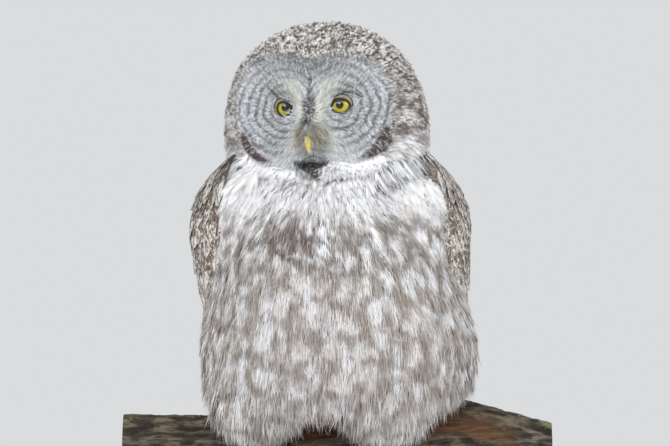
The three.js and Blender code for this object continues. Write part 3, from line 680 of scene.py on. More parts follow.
def head_colours(finish):
    """Dark rings round each eye on blue-grey, pale lores, black chin, white moustache, mottled crown"""
    where = finish.mark("on_head")
    x, y, z = where.split()
    reach = finish.mark("reach", 2)
    out = abs(x)
    wobble = finish.noise(where, 26, 3.0, 0.6)
    across, up = out - EYE["apart"], z - EYE["height"]
    from_eye = finish.maths("SQRT", across * across + up * up * 1.08)
    dashes = finish.noise(where, 300, 2.0, 0.6)
    broken = finish.noise(where, 85, 2.0, 0.6)
    ring = ((from_eye + wobble * 0.0190 + broken * 0.0030) * (2 * math.pi / 0.0082)).sine()
    lines = (ring + (dashes - 0.5) * 3.4 + (broken - 0.5) * 2.2).between(0.05, 1.15)
    lines = lines * (1 - z.between(0.036, 0.060) * 0.35)
    # Lores: two pale crescents back to back, between the eyes and out to either side of the bill
    bend = (z - 0.018) * (z - 0.018) * 13.0
    lores = (out - 0.0095 - bend).near(0.0, 0.0058 + bend * 0.40)
    lores = lores * z.between(-0.026, -0.006) * z.between(0.062, 0.044)
    fan_white = out.near(0.027, 0.019) * z.near(-0.028, 0.014)
    beard = out.near(0.0100, 0.0075) * z.near(-0.008, 0.0120)
    speck = finish.noise(where, 420, 2.0, 0.7)
    brow = out.between(0.0095, 0.0045) * z.between(0.004, 0.010) * z.between(0.040, 0.030)
    crest = (out + (broken - 0.5) * 0.006).between(0.0034, 0.0008)
    crest = crest * z.between(0.020, 0.028) * z.between(0.064, 0.050)
    forehead = (z + out.near(0.0, 0.020) * 0.014).between(0.054, 0.078) * speck.between(0.45, 0.56)
    disc = finish.coats(
        paint(150, 152, 157),
        (dashes.between(0.35, 0.65), paint(212, 215, 219)),
        (z.between(0.044, 0.066) * 0.30, paint(160, 160, 160)),
        (lines * from_eye.between(0.010, 0.018) * 0.80, paint(92, 88, 90)),
        (lores * (0.70 + dashes * 0.35), paint(214, 216, 206)),
        (fan_white * 0.85, paint(216, 220, 221)),
        (beard * 0.85, paint(146, 134, 104)),
        (brow * speck.between(0.38, 0.52) * 0.85, paint(50, 45, 43)),
        (crest * speck.between(0.40, 0.54) * 0.75, paint(50, 45, 43)),
        (forehead * 0.65, paint(66, 59, 57)),
    )
    # Outside the disc: salt and pepper above, softer blotches at the sides, whiter low down
    pepper = finish.noise(where.stretch(0.85, 0.8, 1.35), 200, 3.0, 0.65)
    blotch = finish.noise(where.stretch(0.8, 0.8, 1.2), 88, 3.0, 0.6)
    crown = finish.mix(pepper.between(0.45, 0.58), paint(82, 71, 66), paint(218, 216, 210))
    sides = finish.coats(
        paint(108, 97, 91),
        (blotch.between(0.43, 0.64), paint(220, 220, 219)),
        (pepper.between(0.52, 0.42) * 0.50, UMBER),
        (z.between(0.004, -0.030) * y.between(0.050, -0.010) * 0.55, WHITE),
    )
    cap = finish.mix((z + y.between(0.010, 0.060) * 0.060).between(0.020, 0.062), sides, crown)
    # Painted shade: a dark line of shadow runs out and up along the crease from the owl's right eye, a
    # shorter one lies in the lid's fold over its left, and a soft shade lies over the right brow
    right_crease_shadow = (z - 0.0430 + (x + 0.0425)).near(0.0, 0.0017)
    right_crease_shadow = right_crease_shadow * x.between(-0.046, -0.041) * x.between(-0.024, -0.027)
    left_fold_shadow = (z - 0.0372 + (x - 0.037) * 30 * (x - 0.037)).near(0.0, 0.0013)
    left_fold_shadow = left_fold_shadow * x.between(0.022, 0.026) * x.between(0.052, 0.047)
    painted_brow_shade = (z - 0.052 + (x + 0.040) * 0.8).near(0.0, 0.009) * x.near(-0.036, 0.016)
    below = finish.maths("ARCTAN2", (z - DISC["height"]) / DISC["tall"], out / DISC["side"])
    crescent = reach.near(0.945, 0.074 + x * 0.28) * below.near(-0.66, 0.33)
    rim = reach.near(1.005, 0.022) * z.between(-0.020, 0.0)
    # Chin: a black wedge under the bill, which narrows downward from the owl's right
    left, right = x + 0.0215 + (z + 0.030) * 1.20, 0.0155 - x
    chin = left.between(-0.0025, 0.0035) * right.between(-0.0025, 0.0030)
    chin = chin * z.between(-0.0258, -0.0340)
    return finish.coats(
        disc,
        (reach.between(0.985, 1.035), cap),
        # Painted shade along the creases round the eyes and over the right brow
        ((right_crease_shadow + left_fold_shadow) * (0.5 + dashes * 0.6), paint(46, 42, 40)),
        (painted_brow_shade * dashes.between(0.60, 0.40) * 0.75, paint(104, 100, 98)),
        (crescent.between(0.28, 0.58) * (0.82 + dashes * 0.28), paint(76, 61, 55)),
        (rim * speck.between(0.52, 0.40) * 0.80, paint(226, 222, 214)),
        (rim * speck.between(0.44, 0.56) * 0.85, paint(72, 58, 52)),
        (chin * (0.52 + speck * 0.75), paint(50, 42, 38)),
        (finish.mark("white_tip", 2), paint(252, 252, 254)),
    )


SKIN_VOXEL = 0.0032
hide = bpy.data.meshes.new("hide")
hide_shell = bmesh.new()
for rings_of_part in skin_parts():
    part_points, part_faces = loft(rings_of_part)
    corners = [hide_shell.verts.new(p) for p in part_points]
    for group in part_faces:
        for face_corners in group:
            hide_shell.faces.new([corners[i] for i in face_corners])
bmesh.ops.recalc_face_normals(hide_shell, faces=hide_shell.faces)
hide_shell.to_mesh(hide)
hide_shell.free()
rough_hide = add_object("hide", hide)
remesh = rough_hide.modifiers.new("one_surface", "REMESH")
remesh.mode = "VOXEL"
remesh.voxel_size = SKIN_VOXEL
softened = rough_hide.modifiers.new("softened", "SMOOTH")
softened.factor = 0.5
softened.iterations = 4
whole = bpy.data.meshes.new_from_object(rough_hide.evaluated_get(bpy.context.evaluated_depsgraph_get()))
bpy.data.objects.remove(rough_hide)
skin_points = np.zeros(len(whole.vertices) * 3, np.float32)
whole.vertices.foreach_get("co", skin_points)
skin_points = skin_points.reshape(-1, 3).astype(float)
skin_corners = np.zeros(len(whole.loops), np.int32)
whole.loops.foreach_get("vertex_index", skin_corners)
skin_marks = {"on_body": lay(skin_points), "on_head": to_head(skin_points), "reach": reach_of(skin_points)}
plain_skin = Finish("feathered_skin", {"Roughness": 0.95, "Specular IOR Level": 0.15})
at_neck = plain_skin.place().split()[2].between(0.496, 0.512)
plain_skin.feed("Base Color", plain_skin.mix(at_neck, body_colours(plain_skin), head_colours(plain_skin)))
plain_skin.bump(plain_skin.noise(plain_skin.place(), 700, 3.0), 0.0008, 0.6)
piece("skin", skin_points, [skin_corners.reshape(-1, 4)], [plain_skin], "body_plumage",
      ["head", "neck", "torso"], skin_marks)


# Eyes: glass-clear corneas over lemon-yellow irises with fine radial fibres, a black pupil and a dark ring
# at the iris's edge. Each ball sits in its socket, and both look straight at the viewer.
VIEWER = np.array([-0.002, -5.5, 0.457])
EYE_NAMES = {-1: "eye_right", 1: "eye_left"}
GLANCE = 0.0017
SOCKET_GAP = 0.0003
iris = Finish("eye", {
    "Roughness": 0.15, "Coat Weight": 0.5, "Coat Roughness": 0.03, "Specular IOR Level": 0.35,
})
gx, _, gz = iris.mark("gaze").split()
off_axis = iris.maths("SQRT", gx * gx + gz * gz)
spoke = iris.noise((iris.maths("ARCTAN2", gz, gx) * 9, off_axis * 260, 0.0))
iris.feed("Base Color", iris.coats(
    paint(140, 132, 18),
    (spoke.between(0.3, 0.7), paint(190, 182, 42)),
    # Painted shade of the upper lid darkens the top of the iris
    (gz.between(0.0005, 0.0050) * 0.60, paint(88, 80, 18)),
    (off_axis.between(0.0056, 0.0038) * 0.45, paint(132, 118, 18)),
    (off_axis.between(0.0066, 0.0096), paint(104, 98, 18)),
    (off_axis.between(0.0098, 0.0104), paint(20, 17, 10)),
    (off_axis.between(0.0040, 0.0036), paint(5, 5, 6)),
))


def axes_towards(ahead, up=(0, 0, 1)):
    """Across, ahead and up, square to one another"""
    ahead = unit(np.array(ahead, float))
    across = unit(np.cross(ahead, np.array(up, float)))
    return np.stack([across, ahead, np.cross(across, ahead)])


def eye_at(side):
    """An eye's centre, and its axes: the pupil lies a glance to the bird's right of the middle"""
    centre = from_head(np.array([side * EYE["apart"], EYE["depth"], EYE["height"]]))
    return centre, axes_towards(unit(VIEWER - centre) - np.array([GLANCE / EYE["radius"], 0, 0]))


for side, eye_name in EYE_NAMES.items():
    centre, aim = eye_at(side)
    polar = np.linspace(0.015, np.pi - 0.05, 60)[:, None]
    turn = turns(64)
    cornea = EYE["radius"] - SOCKET_GAP + 0.0006 * bell(polar, 0.62)
    ball = columns(cornea * np.sin(polar) * np.cos(turn), cornea * np.cos(polar),
                   cornea * np.sin(polar) * np.sin(turn))
    eye_points, eye_faces = loft(ball)
    gaze = {"gaze": eye_points}
    piece(eye_name + "_ball", centre + eye_points @ aim, eye_faces, [iris], "eye", [eye_name], gaze)


# Eyelids: a pale olive fold of bare skin round each eye, thick and black along its free edge. The upper lid
# comes lowest towards the bill, which gives the bird its stern look.

# Seen from in front: degrees round the pupil from the viewer's right, then in millimetres how far off the
# lid's edge is, how broad its black rim is there, and how far the bare lid reaches.
OPENINGS = {
    -1: ((0, 3.8, 2.8, 6.8), (30, 2.6, 3.8, 7.0), (60, 2.0, 4.2, 7.0), (90, 2.6, 3.8, 7.2),
         (110, 3.8, 3.2, 9.0), (128, 5.6, 2.2, 11.5), (150, 6.8, 2.0, 12.3), (180, 7.0, 2.2, 11.0),
         (215, 7.6, 2.4, 11.0), (270, 7.3, 2.2, 10.2), (315, 6.0, 2.4, 8.8)),
    1: ((0, 9.4, 1.9, 12.2), (30, 6.6, 2.5, 12.6), (60, 4.3, 3.3, 11.8), (85, 3.4, 3.6, 10.6),
        (110, 3.3, 3.8, 9.4), (150, 5.0, 4.2, 10.2), (180, 6.8, 5.0, 12.2), (203, 7.8, 5.4, 13.6),
        (235, 7.3, 4.0, 11.6), (270, 7.0, 2.4, 10.2), (315, 8.0, 2.0, 10.8)),
}


def opening_at(side, turn):
    """An eye's opening, the breadth of its black edge and the reach of bare lid, at angles round the pupil"""
    degrees, *columns = np.array(OPENINGS[side], float).T
    around = np.degrees(turn)[..., None] + np.linspace(-14, 14, 7)
    return [np.interp(around, degrees, values, period=360).mean(axis=-1) / 1000 for values in columns]


def clear_of_eye(points):
    """How far points on the face lie outside the nearer eye's bare lid, as seen from in front"""
    gaps = []
    for side in EYE_NAMES:
        centre, _ = eye_at(side)
        x, z = (points - centre)[:, 0] + GLANCE, (points - centre)[:, 2]
        gaps.append(np.hypot(x, z) - opening_at(side, np.arctan2(z, x))[2])
    return np.minimum(*gaps)


lid = Finish("eyelid", {"Roughness": 0.55, "Coat Weight": 0.15, "Coat Roughness": 0.3})
folds = lid.noise(lid.place(), 900, 2.0)
lid.feed("Base Color", lid.coats(
    paint(112, 108, 76),
    (folds.between(0.35, 0.65), paint(146, 142, 108)),
    (lid.mark("edge", 2).between(1.25, 0.95), paint(18, 16, 15)),
    # Painted shade: the crease of the fold over the upper lid is darkened
    (lid.mark("fold", 2).between(0.35, 0.7), paint(30, 27, 26)),
))
lid.bump(folds, 0.0004, 0.5)
for side, eye_name in EYE_NAMES.items():
    centre, aim = eye_at(side)
    turn = turns(90)
    opening, black, bare = opening_at(side, turn)
    share = np.linspace(0, 1, 26)[:, None]
    start = np.arcsin(opening / EYE["radius"])
    polar = start + (1.30 - start) * share
    from_edge = EYE["radius"] * (polar - start)
    fold = bell(EYE["radius"] * np.sin(polar) - bare + 0.0004, 0.0009) * (np.sin(turn) > -0.1)
    swell = EYE["radius"] + 0.0003 + 0.0011 * bell(from_edge - 0.0012, 0.0013) + 0.0007 * fold
    outer_side = columns(-swell * np.sin(polar) * np.cos(turn), swell * np.cos(polar),
                         swell * np.sin(polar) * np.sin(turn))
    inner = (EYE["radius"] + 0.0001) / np.linalg.norm(outer_side, axis=-1, keepdims=True)
    lid_points, lid_faces = loft(np.concatenate([outer_side[::-1] * inner[::-1], outer_side]))
    both_sides = {"edge": (from_edge / black, 3), "fold": (fold, 0)}
    lid_marks = {
        label: np.append(np.concatenate([values[::-1], values]).ravel(), [at_middle] * 2)
        for label, (values, at_middle) in both_sides.items()
    }
    # The lid is an open ring, so the loft's end fans are left out.
    piece(eye_name.replace("eye", "eyelids"), centre + lid_points @ aim, lid_faces[:1], [lid], "face_plumage",
          (), lid_marks)


# Bill: a hooked, laterally flattened upper half over a shorter lower half, smooth yellow horn that pales
# towards the cutting edge, with round nostrils in the soft cere at its base.
upper_width = profile((0, 5.2), (300, 4.6), (600, 3.7), (850, 2.4), (1000, 0.5))
upper_height = profile((0, 6.5), (300, 6), (600, 4.8), (850, 2.9), (1000, 0.5))
lower_width = profile((0, 4.6), (500, 3.8), (1000, 1.3))
lower_height = profile((0, 5), (500, 4.2), (1000, 1.5))
UPPER_BILL = [(0, -58, 7), (0, -71, 4), (0, -79.5, -4), (0, -81.5, -13), (0, -76.5, -23)]
LOWER_BILL = [(0, -57, -7), (0, -67, -10), (0, -73.5, -17)]


def tube(line, wide, tall, across=ACROSS):
    """Rings round a line in an upright plane, from how far they reach beside it and above it"""
    up = unit(np.cross(across, unit(np.gradient(line, axis=0))))
    return line[:, None, :] + wide[..., None] * ACROSS + tall[..., None] * up[:, None, :]


def horn(line, half_width, half_height, ridge=0.0):
    """Rings along a curved line in the head's middle plane, with a ridge along the upper side"""
    share, turn = np.linspace(0, 1, 60), turns(40)
    wide = half_width(share)[:, None] * np.cos(turn)
    tall = half_height(share)[:, None] * (np.sin(turn) - ridge * bell(turn - 1.5 * np.pi, 0.5))
    return tube(spline(line, share), wide, tall)


def dented(points, places, radius, depth):
    """Points pushed in towards the middle plane round each place"""
    for place in np.array(places) / 1000:
        near = bell(np.linalg.norm(points - place, axis=-1), radius)
        points[:, 0] -= np.sign(place[0]) * depth * near
    return points


yellow_horn = Finish("yellow_horn", {"Roughness": 0.32, "Coat Weight": 0.25, "Coat Roughness": 0.2})
bill_place = yellow_horn.mark("on_head")
bill_z = bill_place.split()[2]
layers = yellow_horn.noise(bill_place.stretch(260, 260, 60))
yellow_horn.feed("Base Color", yellow_horn.coats(
    paint(204, 182, 62),
    (layers, paint(222, 204, 88)),
    (bill_z.between(-0.012, -0.024), paint(214, 196, 112)),
    (bill_z.between(-0.003, 0.006), paint(142, 124, 62)),
    # Painted shade fills each nostril's shallow pit
    (yellow_horn.mark("pit", 2).between(0.35, 0.7), paint(30, 24, 14)),
))
yellow_horn.bump(layers, 0.0003, 0.3)
NOSTRILS = [(-5.1, -73, 0), (5.1, -73, 0)]
for bill_name, rings_of_bill in (
    ("bill_upper", horn(UPPER_BILL, upper_width, upper_height, 0.12)),
    ("bill_lower", horn(LOWER_BILL, lower_width, lower_height)),
):
    bill_points, bill_faces = loft(rings_of_bill)
    gap = np.min([np.linalg.norm(bill_points - np.array(n) / 1000, axis=-1) for n in NOSTRILS], axis=0)
    bill_marks = {"on_head": bill_points, "pit": bell(gap, 0.0019)}
    bill_points = dented(bill_points.copy(), NOSTRILS, 0.0018, 0.0014)
    horn_name = bill_name.replace("bill_", "horn_")
    piece(horn_name, from_head(bill_points), bill_faces, [yellow_horn], "bill", [bill_name], bill_marks)


# Claws: eight curved claws of black horn that taper to a point. Each grows out of the end of a toe, and they
# grip the bark from both sides.
black_horn = Finish("black_horn", {"Roughness": 0.3, "Coat Weight": 0.3, "Coat Roughness": 0.2})
scratches = black_horn.noise(black_horn.place().stretch(900, 200, 200))
black_horn.feed("Base Color", black_horn.mix(scratches, paint(26, 23, 21), paint(58, 52, 47)))
black_horn.bump(scratches, 0.0002, 0.3)
claw_girth = profile((0, 3.4), (500, 2.4), (1000, 0.35))
for side, foot in FEET.items():
    for toe_name in TOES:
        share = np.linspace(0, 1, 28)
        lift = TOE_DEPTH - 0.003 * share + 0.004 * np.sin(np.pi * share)
        line = toe_line(foot, toe_name, 1.23 + 0.62 * share, lift)
        girth, turn = claw_girth(share)[:, None], turns(20)
        rings_of_claw = tube(line, girth * np.cos(turn) * 0.85, girth * np.sin(turn) * 1.05, -ACROSS)
        claw_name = f"{SIDE_NAMES[side]}_{toe_name}"
        piece("talon_" + claw_name, *loft(rings_of_claw), [black_horn], "claw", ["claw_" + claw_name])


# Tail: twelve broad blunt feathers laid over one another, the middle pair outermost behind, brown-grey with
# wavy pale bars. Short coverts hide their quills on both faces.


def vane(stations, across, rng, notch=0.03, blunt=0.62):
    """Corners and triangles of one flat feather: along it, across it and above it, in shares of its size"""
    a = np.linspace(0, 1, stations)[:, None] ** 0.9
    b = np.linspace(-1, 1, across)[None, :]
    full = np.minimum(1, 0.42 + 1.5 * a)
    round_tip = np.sqrt(np.clip(1 - (np.clip(a - blunt, 0, 1) / (1 - blunt)) ** 2, 0, 1))
    width = full * np.maximum(round_tip, 0.12)
    along = a * (1 - 0.045 * b**2) - notch * rng.random((stations, across)) * (np.abs(b) > 0.9)
    ripple = 0.05 * np.sin(b * 9 + a * 3 + rng.uniform(0, 6)) * (np.abs(b) > 0.3)
    corners = columns(along, width * b, ripple + 0.10 * bell(b, 0.12)).reshape(-1, 3)
    i = (np.arange(stations - 1)[:, None] * across + np.arange(across - 1)[None, :]).ravel()
    one = columns(i, i + 1, i + across + 1)
    two = columns(i, i + across + 1, i + across)
    return corners, np.concatenate([one, two])


# A feather's patch on the unwrap, how far its form turns its shading, and a step too short to bend it
PATCH = 0.003
SHADING = 0.45
SLIGHT = 0.003


def plumage(name, finish, slot, shapes, at, out, way, length, half, depth, patch, rng, *, stand=0.0,
            camber=0.3, yaw=0.1, roll=0.15, sway=0.08, stands_for=(), jitter=0.0, white=0):
    """Feathers as one mesh. Each has its root a depth under its place, rises to the surface at its tip,
    and takes one of the shapes. Way may be the step to another place on the surface, which the feather
    then bends to follow. A patch is its place on the skin's unwrap."""
    count = len(at)
    out = unit(out)
    reach = np.linalg.norm(way, axis=-1)
    drop_off = (way * out).sum(-1) / np.maximum(reach, 1e-9) ** 2 * (reach > 0.004)
    way = unit(way - out * (way * out).sum(-1, keepdims=True))
    side = np.cross(out, way)
    turn = rng.normal(0, 1, count) * yaw
    way, side = (way * np.cos(turn)[:, None] + side * np.sin(turn)[:, None],
                 side * np.cos(turn)[:, None] - way * np.sin(turn)[:, None])
    tilt = rng.normal(0, 1, count) * roll
    side, out = (side * np.cos(tilt)[:, None] + out * np.sin(tilt)[:, None],
                 out * np.cos(tilt)[:, None] - side * np.sin(tilt)[:, None])
    length = np.broadcast_to(length, count) * rng.uniform(0.86, 1.14, count)
    half, depth, stand = (np.broadcast_to(v, count) for v in (half, depth, stand))
    stand = stand * rng.uniform(0.3, 1.6, count)
    bent = np.clip(drop_off * length**2, -0.6 * length, 0.2 * length)
    swing = rng.normal(0, 1, count) * sway
    tone = rng.random(count)
    nudge = rng.normal(0, 1, (count, 3)) * jitter
    kinds = rng.integers(len(shapes), size=count)
    gathered = {key: [] for key in ("points", "normals", "faces", "OFBake", "vane", "nudge")}
    start = 0
    for kind, (corners, triangles) in enumerate(shapes):
        chosen = np.flatnonzero(kinds == kind)
        if not len(chosen):
            continue
        a, b, h = (corners[:, k][None, :, None] for k in range(3))
        long, wide, low, high, swung, curl = (
            v[chosen][:, None, None] for v in (length, half, depth, stand, swing, bent)
        )
        lift = low * (2 * a - a * a) + (high + curl) * a * a + (h - camber * b * b) * wide
        across = b * wide + swung * long * a * a
        points = (at - out * depth[:, None])[chosen][:, None, :] + way[chosen][:, None, :] * (long * a)
        points = points + out[chosen][:, None, :] * lift + side[chosen][:, None, :] * across
        slope = (low * (2 - 2 * a) + 2 * (high + curl) * a) / long
        facing = out[chosen][:, None, :] - way[chosen][:, None, :] * slope * SHADING
        facing = facing + side[chosen][:, None, :] * (2 * camber * b + h * 2.2) * SHADING
        gathered["points"].append(points.reshape(-1, 3))
        gathered["normals"].append(unit(facing).reshape(-1, 3))
        size = len(corners)
        base = start + np.arange(len(chosen))[:, None, None] * size
        gathered["faces"].append((base + triangles[None]).reshape(-1, 3))
        spot = patch[chosen][:, None, :] + PATCH * np.concatenate([b / 2, a - 0.5], -1)
        gathered["OFBake"].append(spot.reshape(-1, 2))
        lane = columns(a[..., 0], b[..., 0], tone[chosen][:, None])
        gathered["vane"].append(lane.reshape(-1, 3))
        gathered["nudge"].append(np.broadcast_to(nudge[chosen][:, None, :], points.shape).reshape(-1, 3))
        start += len(chosen) * size
    whole = {key: np.concatenate(values) for key, values in gathered.items()}
    one, two, three = (whole["points"][whole["faces"][:, k]] for k in range(3))
    upward = (np.cross(two - one, three - one) * whole["normals"][whole["faces"][:, 0]]).sum(-1) < 0
    whole["faces"][upward] = whole["faces"][upward][:, ::-1]
    layers = {"OFBake": whole["OFBake"], "vane": whole["vane"]}
    for label, find in finish.measures.items():
        layers[label] = find(whole["points"] + whole["nudge"])
    layers["white_tip"] = np.full(start, float(white))
    piece(name, whole["points"], [whole["faces"]], [finish], slot, stands_for, layers, whole["normals"])


def feathery(name, colours, **measures):
    """A plumage finish: its colours, which read the measures, each feather a little darker or paler, and
    painted shade towards its root
    """
    finish = Finish(name, {
        "Roughness": 0.88, "Specular IOR Level": 0.2, "Sheen Weight": 0.12, "Sheen Roughness": 0.5,
    })
    finish.measures = measures
    along, across, tone = finish.mark("vane").split()
    colour = colours(finish, along, across, tone)
    finish.feed("Base Color", finish.mix(1.0, colour, tone_and_root_shade(finish, along, tone), "MULTIPLY"))
    return finish


def tone_and_root_shade(finish, along, tone):
    """Grey by which a feather is darkened: by its own tone at random, and by painted shade towards its root
    """
    grey = (0.92 + tone * 0.08) * (0.86 + along.between(0.0, 0.5) * 0.14)
    return finish.join(grey, grey, grey)


def barred(finish, along, across, tone):
    """Wavy pale bars across a brown vane, freckled with dark, a dark shaft and worn pale edges"""
    wave = finish.noise((along * 9 + tone * 40, across * 1.8, tone * 50), 1.0, 3.0, 0.6)
    bars = (along * 30 + tone * 9 + wave * 7.0 - abs(across) * 1.2).sine().between(0.05, 0.8)
    freckle = finish.noise((along * 70, across * 16, tone * 50), 1.0, 3.0, 0.7)
    dark = finish.mix(freckle.between(0.4, 0.62), paint(78, 66, 58), paint(128, 114, 104))
    pale = finish.mix(freckle.between(0.35, 0.6), paint(140, 128, 118), paint(212, 206, 197))
    worn_edge, shaft = abs(across).between(0.82, 1.0), abs(across).between(0.07, 0.03)
    return finish.coats(dark, (bars * 0.8, pale), (worn_edge * 0.35, CREAM), (shaft * 0.8, paint(60, 48, 40)))


def mottled(finish, along, across, tone):
    """Covert colours: brown finely wormed with white, palest towards the edge, with a dark shaft streak"""
    worms = finish.noise((along * 7 + tone * 31, across * 2.6, tone * 60), 1.0, 4.0, 0.75)
    freckle = finish.noise((along * 34, across * 13, tone * 50), 1.0, 2.0, 0.7)
    scallop = (along + across * across * 0.16).between(0.84, 0.97) * 0.16
    light = (worms + (freckle - 0.5) * 0.30 + scallop + (tone - 0.5) * 0.16).between(0.45, 0.60)
    shaft = abs(across + (worms - 0.5) * 0.5).between(0.16, 0.06)
    return finish.coats(
        paint(86, 73, 64),
        (freckle.between(0.4, 0.62), paint(128, 114, 103)),
        (light * 0.90, paint(222, 218, 211)),
        (shaft * 0.5, paint(64, 52, 45)),
    )


def cross_out(surface, u, v):
    """Places on a surface, and the ways along both of its directions"""
    at = surface(u, v)
    along_u = surface(u + 1e-3, v) - surface(u - 1e-3, v)
    along_v = surface(u, v + 1e-3) - surface(u, v - 1e-3)
    return at, along_u, along_v


def upright(along_u, along_v, towards):
    """The way square to a surface, on the side that faces towards a given way"""
    out = unit(np.cross(along_u, along_v))
    return out * np.sign((out * towards).sum(-1))[:, None]


flight = feathery("flight_feathers", barred)
covert = feathery("wing_coverts", mottled)
rng = np.random.default_rng(11)
long_vanes = [vane(26, 9, rng, 0.012, 0.86) for _ in range(4)]
pair, left = np.repeat(np.arange(6), 2), np.tile([1, 0], 6)
tail_x = (2 * left - 1) * (0.005 + 0.0056 * pair)
tail_back = 0.0052 - 0.0016 * pair - 0.0008 * left
root = columns(tail_x * 0.72, 0.078 + tail_back * 0.6, 0.266)
tip = columns(tail_x * 1.05, 0.104 + tail_back, 0.032 + 0.0009 * pair * pair)
tail_patch = columns(0.5 + tail_x * 6, 0.03)
plumage("tail_feathers", flight, "flight_feathers", long_vanes, root, np.tile([0, 1.0, 0.1], (12, 1)),
        tip - root, np.linalg.norm(tip - root, axis=1), 0.0140, 0.0, tail_patch, rng, camber=0.10, yaw=0.0,
        roll=0.03, sway=0.004, stands_for=["tail"])
short_vanes = [vane(12, 7, rng, 0.05, 0.5) for _ in range(6)]
covert_x = np.concatenate([np.linspace(-0.030, 0.030, 9), np.linspace(-0.026, 0.026, 8)] * 2)
covert_face = np.concatenate([np.ones(17), -np.ones(17)])
covert_z = np.concatenate([np.full(9, 0.262), np.full(8, 0.238)] * 2)
covert_at = columns(covert_x, 0.078 + (0.300 - covert_z) * 0.112 + covert_face * 0.0065, covert_z)
covert_patch = columns(0.5 + covert_x * 6, 0.05 + covert_z * 0.1)
plumage("tail_coverts", flight, "flight_feathers", short_vanes, covert_at,
        columns(0, covert_face, 0), columns(covert_x * 0.6, 0.11, -1),
        0.062, 0.0105, 0.001, covert_patch, rng, stand=0.001, camber=0.2, yaw=0.05, roll=0.06)


# Wings: folded along the flanks, their feathers in tiers from the small scaly coverts at the wrist to the
# long blunt primaries that cross behind the tail. Soft fringes and brown mottling blur the edges.
def wing_tier(count, root_at, tip_at, step, across_from, across_to, half, rows, rng):
    """Where each feather of a tier starts, ends and lies across the wing, and half its width"""
    share = (np.arange(count) + 0.5) / count
    feathers = []
    for row in range(rows):
        t = across_from + (across_to - across_from) * np.clip(share + (row % 2 - 0.5) * 0.5 / count, 0, 1)
        shift = (tip_at - root_at) * 0.42 * (row - (rows - 1) / 2)
        start = root_at + shift + 0.004 * rng.normal(size=count)
        end = tip_at + step * share + shift
        feathers.append(columns(start, np.clip(end, 0, 1), t, half / 1000))
    return np.concatenate(feathers)


# How many feathers, where they start and end along the wing, how far the last one lies behind the first,
# where they start and end across the wing, half a feather's width in millimetres, and the rows
COVERT_TIERS = [
    (16, 0.030, 0.105, 0.01, -0.09, 0.96, 8.5, 3),
    (17, 0.095, 0.170, 0.01, -0.09, 0.96, 8.5, 3),
    (17, 0.160, 0.240, 0.02, -0.09, 0.96, 9.0, 3),
    (16, 0.230, 0.320, 0.02, -0.08, 0.96, 9.5, 3),
    (15, 0.310, 0.420, 0.03, -0.04, 0.95, 10.5, 2),
    (12, 0.390, 0.530, 0.03, 0.05, 0.94, 12.5, 2),
]
QUILL_TIERS = [
    (10, 0.480, 0.750, 0.02, 0.08, 0.92, 13.0, 1),
    (9, 0.600, 0.860, 0.13, 0.10, 0.90, 10.0, 1),
]
for side, side_name in SIDE_NAMES.items():
    wing_name = "wing_" + side_name
    rng = np.random.default_rng(30 + side)
    quill_vanes = [vane(22, 9, rng, 0.02, 0.80) for _ in range(4)]
    covert_vanes = [vane(11, 9, rng, 0.06, 0.45) for _ in range(8)]
    for group, tiers, finish, shapes, depth, stands_for in (
        ("quills", QUILL_TIERS, flight, quill_vanes, 0.0025, [wing_name]),
        ("coverts", COVERT_TIERS, covert, covert_vanes, 0.0035, ()),
    ):
        tier_rows = np.concatenate([wing_tier(*tier, rng) for tier in tiers])
        start, end, across, half = tier_rows[np.argsort(-tier_rows[:, 0])].T
        at, along_u, along_v = cross_out(partial(wing, side), start, across)
        way = wing(side, end, across) - at
        out = upright(along_u, along_v, at - columns(0, 0.02, at[:, 2]))
        patch = columns(0.02 + 0.46 * across + (0.5 if side > 0 else 0.0), 0.99 - 0.97 * start)
        plumage(f"{wing_name}_{group}", finish, "flight_feathers", shapes, at, out, way,
                np.linalg.norm(way, axis=1), half, depth, patch, rng, stand=0.0012, camber=0.16, yaw=0.035,
                roll=0.07, sway=0.02, stands_for=stands_for)


# Body coat: loose, silky contour feathers that fan out from under the chin, fall straight down the belly
# and end in a hair-like fringe over the feet. Their barbs don't hook together, so each tip is open.

# The triangles of one blade of a feather, the height where the belly's feathers hang free, and the angles
# that the front of the body takes up
BLADE = [(0, 1, 3), (0, 3, 2), (2, 3, 5), (2, 5, 4), (4, 5, 6)]
HEM = 0.318
FRONT_SPAN = (-2.0, 2.0)


def frond(blades, rng):
    """Corners and triangles of one loose feather: fine blades fanned from its shaft"""
    corners, triangles = [], []
    for t in np.linspace(-1, 1, blades):
        start = 0.04 + 0.24 * (1 - abs(t)) * rng.uniform(0.7, 1.1)
        end = 1 - 0.44 * abs(t) ** 1.5 - rng.uniform(0, 0.10)
        bow = rng.uniform(1.1, 1.7)
        height = rng.uniform(-0.12, 0.12)
        wide = 0.78 / blades * rng.uniform(0.8, 1.2)
        first = len(corners)
        for q, narrow in ((0, 0.75), (0.4, 1.0), (0.75, 0.72)):
            a, b, h = start + (end - start) * q, t * (0.08 + 0.92 * q**bow), height * q
            corners += [(a, b - wide * narrow, h), (a, b + wide * narrow, h + 0.05 * rng.normal())]
        corners.append((end, t * (1 + rng.normal(0, 0.04)), height))
        triangles += [[first + k for k in corner] for corner in BLADE]
    return np.array(corners), np.array(triangles)


def strand():
    """One hair-like barb that tapers to nothing"""
    corners = [(0, -1, 0), (0, 1, 0), (0.4, -0.9, 0), (0.4, 0.9, 0.1), (0.75, -0.6, 0), (0.75, 0.6, 0)]
    return np.array(corners + [(1, 0, 0)]), np.array(BLADE)


